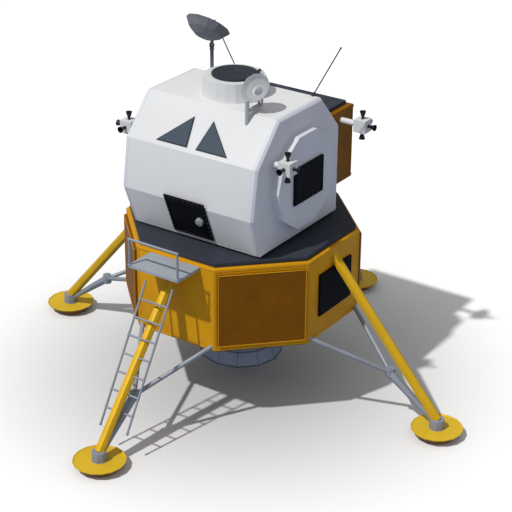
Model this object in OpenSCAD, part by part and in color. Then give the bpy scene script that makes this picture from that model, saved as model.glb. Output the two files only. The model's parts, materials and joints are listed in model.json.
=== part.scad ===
// Two-stage lunar module: octagonal descent stage on four legs, faceted crew cabin on top.
// Millimetres, +Z up, -Y is the front (hatch, porch and ladder). Origin: ground level under
// the middle of the four footpads.

/* [Descent stage] */
// Width of the octagonal body across its flats
body_w = 4472; // [4300:20:4700]
// Height of the body
body_h = 1778; // [1600:20:1900]
// Height of the body's underside above the ground
body_z = 1677; // [1600:10:1800]
// Thickness of the heat shield under the body
shield_t = 40; // [20:5:60]
// Radius of the engine well
well_r = 650; // [620:10:720]
// Height of the engine well's top above the body's underside
well_h = 1023; // [1000:1:1060]
// Thickness of the dark top deck
deck_t = 95; // [60:5:120]
// How far the deck stands in from the body's edge
deck_inset = 69; // [40:5:120]
// Width of the raised panel on each diagonal face
corner_panel_w = 1740; // [1400:20:1740]
// Distance from the corner panel to the body's top and bottom edges
corner_panel_margin = 115; // [80:5:200]
// Thickness of the corner panels
corner_panel_t = 60; // [30:5:80]
// Distance from the dark panel behind each leg down from the body's top edge
leg_panel_drop = 415; // [380:5:450]
// Width of the dark panel behind each leg
leg_panel_w = 1160; // [900:20:1300]
// Height of the dark panel
leg_panel_h = 900; // [700:20:1000]
// Thickness of the dark panel
leg_panel_t = 50; // [30:5:80]

/* [Landing gear] */
// Distance from the centre line to the middle of each footpad
pad_reach = 4700; // [4500:20:4900]
// Diameter of a footpad
pad_d = 1040; // [900:20:1200]
// Diameter of a footpad's sole
sole_d = 720; // [500:20:800]
// Thickness of a footpad
pad_h = 175; // [120:5:220]
// Width of the collar on a footpad, across corners
collar_d = 300; // [280:10:360]
// Height of the collar above the pad
collar_h = 190; // [150:10:240]
// Width of a main strut, across corners
strut_d = 210; // [180:10:230]
// How far below the body's top edge a main strut meets the body
strut_drop = 255; // [240:5:320]
// Diameter of a side strut
side_strut_d = 90; // [70:5:110]
// Sideways distance of a side strut's foot from the leg's middle plane
side_strut_spread = 840; // [780:10:860]
// Diameter of the lower link
link_d = 116; // [90:5:130]
// Distance from the footpad's middle in to the joint of the side struts
knuckle_in = 1100; // [1000:20:1200]
// How far that joint lies below the main strut
knuckle_drop = 566; // [500:2:620]
// Size of that joint
knuckle_d = 190; // [170:10:220]

/* [Ladder and porch] */
// Width of the porch
porch_w = 1190; // [1000:10:1300]
// Depth of the porch
porch_d = 704; // [600:10:800]
// Thickness of the porch
porch_t = 60; // [40:5:80]
// Height of the railing above the porch
rail_h = 536; // [450:10:620]
// Diameter of the railing's tubes
rail_d = 50; // [30:5:60]
// Distance between the middles of the ladder's rails
ladder_w = 650; // [560:10:720]
// Height of the ladder's lower end above the ground
ladder_foot = 593.4; // [500:0.1:760]
// Number of rungs
rungs = 7; // [5:1:8]
// Diameter of the ladder's tubes
ladder_d = 46; // [34:2:60]

/* [Cabin] */
// Half the cabin's width, over the end walls
cabin_half = 1550; // [1450:10:1600]
// Thickness of the cabin's walls
wall = 70; // [50:5:90]
// Bevel around each end wall
bevel = 50; // [20:5:60]
// Height of the gap between the deck and the cabin
interstage_h = 50; // [30:5:90]
// Radius of the bulge on each end wall, across corners
bulge_r = 1000; // [900:10:1020]
// How far each bulge stands out
bulge_out = 180; // [120:5:190]
// Width of the dark panel on each bulge
bulge_panel_w = 1000; // [800:10:1100]
// Height of that panel
bulge_panel_h = 750; // [600:10:800]
// Thickness of that panel
bulge_panel_t = 50; // [20:5:60]
// Thickness of a window pane
pane_t = 32; // [20:2:45]
// Overlap of a window pane on its frame
pane_lap = 26; // [15:1:35]

/* [Front hatch] */
// Width of the hatch opening
hatch_w = 850; // [760:10:870]
// Height of the hatch opening, along the wall
hatch_h = 725; // [680:5:780]
// Distance from the wall's upper fold to the opening
hatch_top = 30; // [20:2:40]
// Width of the frame around the opening
hatch_rim = 50; // [30:2:60]
// How far the frame reaches above the wall's upper fold
hatch_hood = 135; // [60:5:150]
// How far the frame stands out from the wall
hatch_proud = 34; // [20:2:45]
// Thickness of the hatch
hatch_t = 60; // [40:2:66]
// Gap between the hatch and its opening
hatch_gap = 18; // [16:1:24]
// Radius of the hatch's handle
handle_r = 85; // [60:5:90]
// Diameter of the hatch's hinge pin
hatch_pin_d = 24; // [16:2:30]

/* [Docking tunnel] */
// Radius of the tunnel's bore
tunnel_r = 400; // [360:10:420]
// Thickness of the collar at its top
collar_top_t = 198; // [180:2:210]
// Thickness of the collar at the roof
collar_base_t = 242; // [226:2:270]
// Height of the collar above the roof
collar_rise = 375; // [300:5:420]
// How far the lid reaches past the bore
lid_lap = 53; // [35:1:60]
// Thickness of the lid
lid_t = 40; // [30:2:60]
// Diameter of the lid's hinge pin
lid_pin_d = 24; // [16:2:30]

/* [Aft bay and thrusters] */
// Half the width of the aft equipment bay
bay_half = 1363; // [1200:10:1400]
// Depth of the bay behind the cabin
bay_d = 830; // [700:10:900]
// Height of the bay's underside above the cabin's
bay_rise = 434; // [350:10:500]
// Height of the bay
bay_h = 1582; // [1560:2:1600]
// Thickness of the dark cover on the bay
bay_cover_t = 80; // [40:5:100]
// Edge of a thruster block
quad_s = 265; // [220:5:300]
// Gap between a thruster block and the plane of the bulge's outer face
quad_gap = 12.5; // [10:0.5:80]
// Height of the thruster blocks above the cabin's underside
quad_rise = 1820; // [1780:10:1840]
// Diameter of a thruster block's boom
boom_d = 120; // [80:5:140]
// Length of a thruster nozzle
nozzle_l = 160; // [100:5:200]
// Diameter of a nozzle's mouth
nozzle_d = 134; // [90:2:150]
// Diameter of a nozzle's root
nozzle_root_d = 52; // [40:2:70]

/* [Descent engine] */
// Height of the gimbal's centre above the body's underside
gimbal_rise = 273; // [260:1:300]
// Radius of the bell's mouth
bell_r = 870; // [800:10:900]
// Height of the bell's mouth above the ground
bell_z = 460; // [440:10:520]
// Thickness of the bell's wall
bell_wall = 16; // [12:1:24]
// Radius of the combustion chamber
chamber_r = 190; // [160:5:200]
// Radius of the gimbal ring, to the middle of its section
ring_r = 300; // [290:5:310]
// Width of the gimbal ring's section
ring_w = 56; // [40:2:60]
// Height of the gimbal ring's section
ring_h = 80; // [64:2:90]
// Diameter of the gimbal's pins
gimbal_pin_d = 40; // [30:2:44]

/* [Antennas] */
// Position of the dish mast, left and right of the centre line
mast_x = -970; // [-1040:10:-900]
// Position of the dish mast, front to back
mast_y = 350; // [300:10:380]
// Height of the dish's pivot above the roof
mast_rise = 635; // [600:5:680]
// Diameter of the mast
mast_d = 75; // [60:5:90]
// Radius of the big dish
dish_r = 465; // [420:5:480]
// Depth of the big dish
dish_depth = 290; // [250:5:300]
// Angle of the big dish above level, facing back
dish_tilt = 49; // [40:1:60]
// Position of the radar post, right of the centre line
radar_x = 915; // [880:5:950]
// Position of the radar post, front to back
radar_y = -1145; // [-1180:5:-1120]
// Height of the radar post above the roof
radar_rise = 295; // [280:5:320]
// Radius of the radar dish
radar_r = 300; // [270:5:310]
// Depth of the radar dish
radar_depth = 170; // [140:5:180]
// Angle of the radar dish above level, facing forward
radar_tilt = 40; // [35:1:45]
// Distance from the radar post back to its pivot
radar_back = 443; // [430:1:460]
// Height of the radar's pivot above the roof
radar_pivot_rise = 324; // [315:1:340]
// Thickness of the dishes
dish_wall = 16; // [12:1:22]
// Diameter of the antennas' pivot pins
pivot_pin_d = 24; // [16:2:26]
// Diameter of the whip antennas
whip_d = 24; // [16:2:30]

/* [Hidden] */

// running clearance on the radius of every hinge pin
fit = 0.05;
// hair gap where separate pieces sit face to face
seat = 0.02;
// gap between pieces that move past each other
move_gap = 6;
// length of a knife-thin layer, used only as the end of a hull
skin = 0.01;

apothem = body_w / 2;
body_top = body_z + body_h;
deck_top = body_top + deck_t;
deck_apothem = apothem - deck_inset;

strut_in = [apothem + 10, body_top - strut_drop];
strut_out = [pad_reach, pad_h + collar_h - 35];
// height of the main strut's middle line at a distance from the centre line
function on_strut(r) = strut_in[1] + (r - strut_in[0]) * (strut_out[1] - strut_in[1])
    / (strut_out[0] - strut_in[0]);
knuckle_reach = pad_reach - knuckle_in;
knuckle_z = round(on_strut(knuckle_reach) - knuckle_drop);
porch_top = body_top - 41;
well_top = body_z + well_h;
gimbal_z = body_z + gimbal_rise;

// cabin outline in (y, z), from the roof's front edge round the front and the floor
cabin_z = deck_top + interstage_h;
roof_z = cabin_z + 2625;
OUTLINE = [[-1011, roof_z], [-1735, cabin_z + 1848], [-1887, cabin_z + 847], [-1550, cabin_z],
    [1170, cabin_z], [1170, cabin_z + 1860], [490, roof_z]];
cabin_in = cabin_half - 100;
bulge_y = -270;
bulge_z = cabin_z + 1230;
bulge_wall = wall;

tunnel_y = -240;
collar_top = roof_z + collar_rise;
collar_top_r = tunnel_r + collar_top_t;
collar_base_r = tunnel_r + collar_base_t;
lid_r = tunnel_r + lid_lap;
lid_seat = 3;
lid_gap = 2;
lid_hinge_r = lid_r + 52;
lid_hinge_turn = -45;
lid_hinge_z = collar_top + 34;

bay_back = 1170 + bay_d;
bay_z = cabin_z + bay_rise;
quad_z = cabin_z + quad_rise;
quad_x = cabin_half + bulge_out + quad_gap + quad_s / 2;
QUADS = [[1, -1197, -1], [-1, -1197, -1], [1, 1506, 1], [-1, 1506, 1]];

// hatch geometry in the lower front wall's own plane
hinge_depth = wall + hatch_pin_d / 2 + 14;
hinge_x = -hatch_w / 2 - 16;
hatch_knuckle_r = hatch_pin_d / 2 + 12;
hatch_bottom = hatch_top + hatch_h;

WHIPS = [[[1340, 470, roof_z], [1950, 470, roof_z + 1095]],
    [[-500, 1000, bay_z + bay_h + 35], [-1374, 1000, bay_z + bay_h + 1511]]];

// ---------- helpers ----------

// unit vector along the edge from outline point i to the next
function unit(v) = v / norm(v);
function edge(i) = unit(OUTLINE[(i + 1) % len(OUTLINE)] - OUTLINE[i % len(OUTLINE)]);
// outline point i moved inward by t along both of its walls
function inset(i, t) =
    let (a = edge(i + len(OUTLINE) - 1), b = edge(i),
        na = [-a[1], a[0]], nb = [-b[1], b[0]], bis = unit(na + nb))
    OUTLINE[i % len(OUTLINE)] + bis * t / (bis * na);
// angle that turns an upright wall into the wall from outline point i to i + 1
function lean(i) = atan2(edge(i)[0], -edge(i)[1]);

// octagon with its flats on the axes
module octagon(a) {
    rotate(180 / 8) circle(r = a / cos(180 / 8), $fn = 8);
}

// extrudes a (y, z) profile along X from x0 to x1
module along_x(x0, x1) {
    translate([x0, 0, 0]) rotate([90, 0, 90]) linear_extrude(x1 - x0) children();
}

// round or polygonal bar between two points
module bar(p, q, d, sides = 48, turn = 0) {
    v = q - p;
    translate(p)
        rotate([0, acos(v[2] / norm(v)), atan2(v[1], v[0])])
        rotate(turn) cylinder(d = d, h = norm(v), $fn = sides);
}

// puts its children on the leg that points along angle a; the leg is drawn along +X
module leg(a) {
    rotate(a) children();
}

// the cabin's full outer prism
module cabin_solid() {
    along_x(-cabin_half, cabin_half) polygon(OUTLINE);
}

// wall panels from outline point i to outline point j
module wall_strip(i, j) {
    along_x(-cabin_in, cabin_in)
        polygon(concat([for (k = [i:j]) OUTLINE[k % len(OUTLINE)]],
            [for (k = [j:-1:i]) inset(k, wall)]));
}

// puts its children in the plane of the wall that starts at outline point i:
// x across, y into the cabin, z up the wall, origin on the wall's upper edge
module on_wall(i) {
    translate([0, OUTLINE[i][0], OUTLINE[i][1]]) rotate([lean(i), 0, 0]) children();
}

// window shape, as (x, distance below the wall's upper edge), moved in by t
module window_shape(t) {
    top = 366 + t * 1.9;
    low = 954 - t;
    polygon([[122 + t * 1.15, -low], [794 - t * 3.1, -low], [233, -top]]);
}

// dish: flat-sided rings of a sphere's cap, opening along +Z, its back at the origin
module bowl(r, depth, t, rings = 3, sides = 12) {
    ball = (r * r + depth * depth) / (2 * depth);
    open = asin(r / ball);
    difference() {
        for (k = [0:rings - 1]) bowl_ring(ball, open * k / rings, open * (k + 1) / rings, sides);
        translate([0, 0, t])
            for (k = [0:rings - 1])
                bowl_ring(ball, open * k / rings, open * (k + 1) / rings, sides);
        translate([0, 0, depth]) cylinder(r = r + 1, h = t + 1, $fn = 32);
    }
}

// one ring of that cap
module bowl_ring(ball, a0, a1, sides) {
    translate([0, 0, ball * (1 - cos(a0))])
        cylinder(r1 = max(ball * sin(a0), skin), r2 = ball * sin(a1),
            h = ball * (cos(a0) - cos(a1)), $fn = sides);
}

// ---------- descent stage ----------

module descent_body() {
    color([0.74, 0.56, 0.12])
    difference() {
        translate([0, 0, body_z]) linear_extrude(body_h) octagon(apothem);
        translate([0, 0, body_z - 1]) cylinder(r = well_r, h = well_h + 1, $fn = 96);
    }
}

module base_shield() {
    color([0.35, 0.25, 0.08])
    difference() {
        translate([0, 0, body_z - shield_t]) linear_extrude(shield_t) octagon(apothem - 60);
        translate([0, 0, body_z - shield_t - 1]) cylinder(r = well_r, h = shield_t + 2, $fn = 96);
    }
}

module deck() {
    color([0.2, 0.21, 0.25])
    translate([0, 0, body_top]) linear_extrude(deck_t) octagon(deck_apothem);
}

module corner_panels() {
    color([0.38, 0.24, 0.05])
    for (a = [45:90:315])
        leg(a) translate([apothem + seat, -corner_panel_w / 2, body_z + corner_panel_margin])
            cube([corner_panel_t - seat, corner_panel_w, body_h - 2 * corner_panel_margin]);
}

// dark panels behind the right, rear and left legs, cut out around the main strut
module leg_panels() {
    color([0.08, 0.08, 0.1])
    for (a = [0:90:180])
        leg(a) difference() {
            translate([apothem + seat, -leg_panel_w / 2,
                body_top - leg_panel_drop - leg_panel_h])
                cube([leg_panel_t - seat, leg_panel_w, leg_panel_h]);
            main_strut_bar();
        }
}

// ---------- landing gear ----------

module main_strut_bar() {
    bar([strut_in[0] - 400, 0, strut_in[1] + 400 * (strut_in[1] - strut_out[1])
        / (strut_out[0] - strut_in[0])], [strut_out[0], 0, strut_out[1]], strut_d, 6, 30);
}

module porch_block() {
    translate([-porch_w / 2, -apothem - porch_d, porch_top - porch_t])
        cube([porch_w, porch_d - seat, porch_t]);
}

// main strut on the leg along angle a, ending flush with the body and on its collar
module main_strut(a) {
    color([0.83, 0.7, 0.24])
    difference() {
        leg(a) main_strut_bar();
        leg(a) translate([0, -1000, body_z]) cube([apothem + seat, 2000, body_h + 1000]);
        translate([0, 0, -1]) cylinder(r = 2 * pad_reach, h = pad_h + collar_h + 1, $fn = 4);
        porch_block();
    }
}

module main_strut_front() { main_strut(270); }
module main_strut_right() { main_strut(0); }
module main_strut_rear() { main_strut(90); }
module main_strut_left() { main_strut(180); }

module knuckle() {
    translate([knuckle_reach, 0, knuckle_z - knuckle_d / 2])
        rotate(180 / 8) cylinder(d = knuckle_d, h = knuckle_d, $fn = 8);
}

module side_strut_bar(s) {
    bar([apothem - 100, s * side_strut_spread * (knuckle_reach - apothem + 100)
        / (knuckle_reach - apothem), body_z + 78 + 100 * (body_z + 78 - knuckle_z)
        / (knuckle_reach - apothem)], [knuckle_reach, 0, knuckle_z], side_strut_d);
}

module side_struts() {
    color([0.55, 0.58, 0.64])
    for (a = [0:90:270], s = [-1, 1])
        leg(a) difference() {
            side_strut_bar(s);
            translate([0, -1500, 0]) cube([apothem + seat, 3000, 2 * body_z]);
            knuckle();
        }
}

module lower_links() {
    color([0.5, 0.53, 0.6])
    for (a = [0:90:270])
        leg(a) {
            knuckle();
            difference() {
                bar([knuckle_reach, 0, knuckle_z], [pad_reach, 0, pad_h + 50], link_d, 48, 90);
                main_strut_bar();
                foot_collar();
                pad_plate();
            }
        }
}

module pad_plate() {
    translate([pad_reach, 0, 0]) cylinder(d1 = sole_d, d2 = pad_d, h = pad_h, $fn = 64);
}

module foot_collar() {
    translate([pad_reach, 0, pad_h])
        rotate(180 / 8) cylinder(d = collar_d, h = collar_h, $fn = 8);
}

module footpad(a) {
    color([0.84, 0.72, 0.26])
    leg(a) {
        pad_plate();
        foot_collar();
    }
}

module footpad_front() { footpad(270); }
module footpad_right() { footpad(0); }
module footpad_rear() { footpad(90); }
module footpad_left() { footpad(180); }

// ---------- porch and ladder ----------

module porch() {
    color([0.67, 0.69, 0.72]) porch_block();
}

module porch_rail() {
    x = porch_w / 2 - rail_d / 2;
    y = -apothem - porch_d + rail_d / 2;
    color([0.5, 0.52, 0.55]) {
        for (s = [-1, 1]) bar([s * x, y, porch_top], [s * x, y, porch_top + rail_h], rail_d);
        bar([-x - rail_d / 2, y, porch_top + rail_h], [x + rail_d / 2, y, porch_top + rail_h],
            rail_d);
    }
}

// ladder line in (y, z): its top end and its direction
ladder_top = [-apothem - 509, body_top - 385];
ladder_dir = [-0.5203, -0.854];
ladder_len = (ladder_foot - ladder_top[1]) / ladder_dir[1];
ladder_pitch = ladder_len / (rungs + 1);
function on_ladder(x, s) =
    [x, ladder_top[0] + ladder_dir[0] * s, ladder_top[1] + ladder_dir[1] * s];

module ladder_rails() {
    color([0.52, 0.54, 0.58])
    for (s = [-1, 1])
        bar(on_ladder(s * ladder_w / 2, 0), on_ladder(s * ladder_w / 2, ladder_len), ladder_d);
}

// rungs between the rails, with a stand-off from the first one; what meets a strut ends on it
module ladder_rungs() {
    color([0.6, 0.62, 0.66])
    difference() {
        union() {
            for (k = [1:rungs])
                bar(on_ladder(-ladder_w / 2, k * ladder_pitch),
                    on_ladder(ladder_w / 2, k * ladder_pitch), ladder_d * 0.86);
            bar(on_ladder(0, ladder_pitch), on_ladder(0, ladder_pitch) + [0, 500, -340],
                ladder_d * 0.8);
        }
        for (s = [-1, 1])
            bar(on_ladder(s * ladder_w / 2, -10), on_ladder(s * ladder_w / 2, ladder_len + 10),
                ladder_d);
        leg(270) main_strut_bar();
        for (s = [-1, 1]) leg(270) side_strut_bar(s);
        leg(270) translate([0, -1000, body_z - 600]) cube([apothem + 120, 2000, body_h]);
        behind_strut();
    }
}

// what lies on the body's side of the front main strut, to end the stand-off on the strut
module behind_strut() {
    v = [strut_out[0] - strut_in[0], strut_out[1] - strut_in[1]];
    translate([0, -strut_in[0], strut_in[1]])
        rotate([atan2(-v[1], v[0]), 0, 0])
        translate([-100, -1000, -700]) cube([200, 1400, 700]);
}

// ---------- descent engine ----------

module engine_mount() {
    arm_x = ring_r + ring_w / 2 + 60;
    top = well_top;
    color([0.4, 0.42, 0.45])
    difference() {
        union() {
            translate([0, 0, top - 60]) cylinder(r = arm_x + 60, h = 60, $fn = 64);
            for (s = [-1, 1])
                translate([s * (arm_x + 20) - 20, -60, gimbal_z - 60])
                    cube([40, 120, top - gimbal_z + 40]);
        }
        translate([-arm_x - 60, 0, gimbal_z]) rotate([0, 90, 0])
            cylinder(d = gimbal_pin_d + 2 * fit, h = 2 * arm_x + 120, $fn = 48);
    }
}

module gimbal_ring() {
    arm_x = ring_r + ring_w / 2 + 60;
    outer = ring_r + ring_w / 2;
    inner = ring_r - ring_w / 2;
    color([0.5, 0.52, 0.56]) {
        difference() {
            translate([0, 0, gimbal_z - ring_h / 2]) cylinder(r = outer, h = ring_h, $fn = 96);
            translate([0, 0, gimbal_z - ring_h / 2 - 1])
                cylinder(r = inner, h = ring_h + 2, $fn = 96);
            translate([0, -outer - 1, gimbal_z]) rotate([-90, 0, 0])
                cylinder(d = gimbal_pin_d + 2 * fit, h = 2 * outer + 2, $fn = 48);
        }
        for (s = [-1, 1])
            bar([s * (ring_r), 0, gimbal_z], [s * (arm_x + 40), 0, gimbal_z], gimbal_pin_d);
    }
}

// one stage of the bell's wall between two heights
module bell_stage(p, q, t) {
    translate([0, 0, q[0]])
        cylinder(r1 = q[1] + t, r2 = p[1] + t, h = p[0] - q[0], $fn = 12);
}

// chamber, throat and flared bell; pins along Y carry it in the gimbal ring
module engine_bell() {
    throat_z = gimbal_z - 230;
    drop = throat_z - bell_z;
    STAGES = [[throat_z, 125], [throat_z - 0.21 * drop, 125 + 0.27 * (bell_r - 125)],
        [throat_z - 0.49 * drop, 125 + 0.61 * (bell_r - 125)],
        [throat_z - 0.77 * drop, 125 + 0.86 * (bell_r - 125)], [bell_z, bell_r]];
    color([0.26, 0.28, 0.33]) {
        difference() {
            union()
                for (k = [0:3]) bell_stage(STAGES[k], STAGES[k + 1], 0);
            for (k = [0:3]) bell_stage(STAGES[k], STAGES[k + 1], -bell_wall);
            translate([0, 0, bell_z - 1]) cylinder(r = bell_r - bell_wall, h = 1.5, $fn = 12);
        }
        translate([0, 0, throat_z - skin]) cylinder(r1 = 125, r2 = chamber_r, h = 90, $fn = 64);
        translate([0, 0, throat_z + 89]) cylinder(r = chamber_r, h = 500, $fn = 64);
        for (s = [-1, 1])
            bar([0, s * (chamber_r - 20), gimbal_z],
                [0, s * (ring_r + ring_w / 2), gimbal_z], gimbal_pin_d);
    }
}

// ---------- cabin ----------

// four short fittings that carry the cabin on the deck
module interstage_fittings() {
    color([0.55, 0.56, 0.6])
    for (x = [-1100, 940], y = [-1250, 850])
        translate([x, y, deck_top]) cube([160, 160, cabin_z - deck_top]);
}

module cabin_floor() {
    color([0.62, 0.63, 0.67]) wall_strip(3, 4);
}

module hatch_hole(t) {
    translate([-hatch_w / 2 - t, -200, -hatch_bottom - t])
        cube([hatch_w + 2 * t, 500, hatch_h + 2 * t]);
}

module cabin_front() {
    color([0.85, 0.86, 0.88])
    difference() {
        wall_strip(0, 3);
        on_wall(2) hatch_hole(0);
        on_wall(0) for (s = [0, 1])
            mirror([s, 0, 0]) translate([0, 200, 0]) rotate([90, 0, 0])
                linear_extrude(400) window_shape(pane_lap);
    }
}

module cabin_roof() {
    color([0.86, 0.87, 0.88])
    difference() {
        wall_strip(6, 7);
        translate([0, tunnel_y, roof_z - 200]) cylinder(r = tunnel_r, h = 400, $fn = 96);
    }
}

module cabin_rear() {
    color([0.7, 0.71, 0.75]) wall_strip(4, 6);
}

// bevelled end wall with its hollow ten-sided bulge, drawn on the +X side
module end_wall() {
    difference() {
        union() {
            hull() {
                along_x(cabin_in, cabin_half - bevel) polygon(OUTLINE);
                along_x(cabin_half - skin, cabin_half)
                    polygon([for (k = [0:len(OUTLINE) - 1]) inset(k, bevel)]);
            }
            bulge(bulge_r, cabin_in, cabin_half + bulge_out);
        }
        bulge(bulge_r - bulge_wall, cabin_in - 1, cabin_half + bulge_out - bulge_wall);
    }
}

module bulge(r, x0, x1) {
    translate([x0, bulge_y, bulge_z]) rotate([90, 0, 90])
        cylinder(r = r, h = x1 - x0, $fn = 10);
}

// both bulges as closed shapes
module bulges() {
    for (s = [0, 1])
        mirror([s, 0, 0]) bulge(bulge_r, cabin_in, cabin_half + bulge_out);
}

module cabin_side_right() {
    color([0.55, 0.57, 0.61]) end_wall();
}

module cabin_side_left() {
    color([0.55, 0.57, 0.61]) mirror([1, 0, 0]) end_wall();
}

module bulge_panels() {
    color([0.08, 0.08, 0.1])
    for (s = [0, 1])
        mirror([s, 0, 0])
            translate([cabin_half + bulge_out, bulge_y + 5 - bulge_panel_w / 2,
                bulge_z - 10 - bulge_panel_h / 2])
            cube([bulge_panel_t, bulge_panel_w, bulge_panel_h]);
}

module windows() {
    color([0.34, 0.38, 0.44])
    on_wall(0) for (s = [0, 1])
        mirror([s, 0, 0]) rotate([90, 0, 0]) translate([0, 0, seat])
            linear_extrude(pane_t - seat) window_shape(0);
}

// instrument panel inside, below the windows
module console() {
    y0 = inset(1, wall)[0] + seat;
    dy = (inset(2, wall)[0] + seat - y0) / (inset(1, wall)[1] - inset(2, wall)[1]);
    z1 = cabin_z + 1700;
    z0 = cabin_z + 1300;
    ya = y0 + dy * (inset(1, wall)[1] - z1);
    yb = y0 + dy * (inset(1, wall)[1] - z0);
    color([0.25, 0.26, 0.28])
    along_x(-800, 800)
        polygon([[ya, z1], [yb, z0], [yb + 330, z0 + 40], [ya + 130, z1]]);
}

// heavy engine block between the crew places
module ascent_engine() {
    color([0.45, 0.46, 0.48])
    translate([0, 250, cabin_z + wall]) cylinder(r = 380, h = 1080, $fn = 64);
}

// ---------- front hatch ----------

module hatch_frame() {
    color([0.08, 0.08, 0.1])
    on_wall(2) difference() {
        translate([-hatch_w / 2 - hatch_rim, -hatch_proud, -hatch_bottom - hatch_rim])
            cube([hatch_w + 2 * hatch_rim, hatch_proud - seat,
                hatch_h + hatch_rim + hatch_hood + hatch_top]);
        hatch_hole(0);
    }
}

// two fixed lugs and the pin, inside the cabin at the left edge of the opening
module hatch_hinge() {
    color([0.5, 0.51, 0.54])
    on_wall(2) for (k = [0.22, 0.78]) {
        mid = -hatch_top - hatch_h * k;
        translate([hinge_x, hinge_depth, mid - 75]) cylinder(d = hatch_pin_d, h = 150, $fn = 48);
        for (s = [-1, 1])
            difference() {
                translate([0, 0, mid + s * 62 - 13]) union() {
                    translate([hinge_x, hinge_depth, 0])
                        cylinder(r = hatch_knuckle_r, h = 26, $fn = 48);
                    translate([hinge_x - 40, wall, 0]) cube([40, hinge_depth - wall, 26]);
                }
                translate([hinge_x - 200, wall - 300, mid - 200]) cube([400, 300 + seat, 400]);
                hatch_swing();
            }
    }
}

// room kept free for the hatch's edge
module hatch_swing() {
    translate([-hatch_w / 2 + 1, -100, -hatch_bottom]) cube([100, 400, hatch_h]);
}

module front_hatch() {
    leaf_x = -hatch_w / 2 + hatch_gap;
    color([0.09, 0.09, 0.11])
    on_wall(2) difference() {
        union() {
            translate([leaf_x, -26, -hatch_bottom + hatch_gap])
                cube([hatch_w - 2 * hatch_gap, hatch_t, hatch_h - 2 * hatch_gap]);
            for (k = [0.22, 0.78]) {
                mid = -hatch_top - hatch_h * k;
                translate([hinge_x, hinge_depth, mid - 40])
                    cylinder(r = hatch_knuckle_r, h = 80, $fn = 48);
                translate([leaf_x, 0, mid - 40]) cube([44, hinge_depth + 12, 80]);
                translate([hinge_x, hinge_depth - 4, mid - 40]) cube([60, 16, 80]);
            }
        }
        for (k = [0.22, 0.78])
            translate([hinge_x, hinge_depth, -hatch_top - hatch_h * k - 50])
                cylinder(d = hatch_pin_d + 2 * fit, h = 100, $fn = 48);
    }
}

module hatch_handle() {
    color([0.75, 0.76, 0.79])
    on_wall(2) translate([hatch_w / 2 - 135, -26, -hatch_top - 290]) rotate([90, 0, 0])
        rotate(22.5) cylinder(r = handle_r, h = 75, $fn = 8);
}

// ---------- docking tunnel ----------

// puts its children on the collar's top, the hinge side along +Y
module on_collar() {
    translate([0, tunnel_y, collar_top]) rotate(lid_hinge_turn) children();
}

module lid_bar(half, d) {
    z = lid_hinge_z - collar_top;
    bar([-half, lid_hinge_r, z], [half, lid_hinge_r, z], d);
}

module tunnel_collar() {
    color([0.8, 0.81, 0.83])
    difference() {
        union() {
            translate([0, tunnel_y, roof_z])
                cylinder(r1 = collar_base_r, r2 = collar_top_r, h = collar_rise, $fn = 96);
            on_collar() {
                for (s = [-1, 1]) {
                    translate([s * 105 - 20, lid_hinge_r - 24, -10])
                        cube([40, 48, lid_hinge_z - collar_top + 10]);
                    translate([s * 105 - 20, lid_hinge_r, lid_hinge_z - collar_top])
                        rotate([0, 90, 0]) cylinder(d = 48, h = 40, $fn = 48);
                }
                lid_bar(110, lid_pin_d);
            }
        }
        translate([0, tunnel_y, roof_z - 1]) cylinder(r = tunnel_r, h = collar_rise + 2, $fn = 96);
        // the lid and its hinge stand in a shallow recess, so nothing overhangs the docking face
        translate([0, tunnel_y, collar_top - lid_seat]) cylinder(r = lid_r + 7, h = 9, $fn = 96);
        on_collar() difference() {
            translate([-140, lid_hinge_r - 30, -4]) cube([280, 60, 5]);
            for (s = [-1, 1])
                translate([s * 105 - 20, lid_hinge_r - 24, -10]) cube([40, 48, 20]);
        }
    }
}

module docking_lid() {
    color([0.23, 0.24, 0.28])
    on_collar() difference() {
        union() {
            translate([0, 0, lid_gap - lid_seat]) cylinder(r = lid_r, h = lid_t, $fn = 96);
            translate([-75, lid_r - 60, 22]) cube([150, 112, lid_t + lid_gap - lid_seat - 22]);
            lid_bar(75, 48);
        }
        lid_bar(80, lid_pin_d + 2 * fit);
    }
}

// ---------- aft bay and thrusters ----------

module aft_bay() {
    color([0.32, 0.22, 0.1])
    difference() {
        along_x(-bay_half, bay_half)
            polygon([[1000, bay_z], [bay_back, bay_z], [bay_back, bay_z + bay_h],
                [900, bay_z + bay_h]]);
        cabin_solid();
    }
}

module bay_cover() {
    color([0.1, 0.1, 0.12])
    translate([-bay_half + 120, 1190, bay_z + bay_h])
        cube([2 * bay_half - 240, bay_back - 1290, bay_cover_t]);
}

module thruster_blocks() {
    color([0.86, 0.87, 0.88])
    for (q = QUADS)
        difference() {
            union() {
                translate([q[0] * quad_x, q[1], quad_z]) cube(quad_s, center = true);
                bar([q[0] * 1200, q[1], quad_z], [q[0] * quad_x, q[1], quad_z], boom_d);
            }
            cabin_solid();
            bulges();
            translate([-bay_half, 1000, bay_z]) cube([2 * bay_half, bay_d + 200, bay_h]);
        }
}

module nozzle() {
    translate([0, 0, quad_s / 2])
        cylinder(d1 = nozzle_root_d, d2 = nozzle_d, h = nozzle_l, $fn = 32);
}

module thruster_nozzles() {
    color([0.04, 0.04, 0.05])
    for (q = QUADS)
        translate([q[0] * quad_x, q[1], quad_z]) {
            nozzle();
            rotate([180, 0, 0]) nozzle();
            rotate([-90 * q[2], 0, 0]) nozzle();
            rotate([0, 90 * q[0], 0]) nozzle();
        }
}

// ---------- antennas ----------

mast_z = roof_z + mast_rise;
yoke_z = mast_z - 120;
radar_yoke_z = roof_z + 17;
radar_pivot = [radar_x, radar_y + radar_back, roof_z + radar_pivot_rise];
cheek_in = 26;
cheek_t = 18;
spigot_d = 40;

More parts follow.
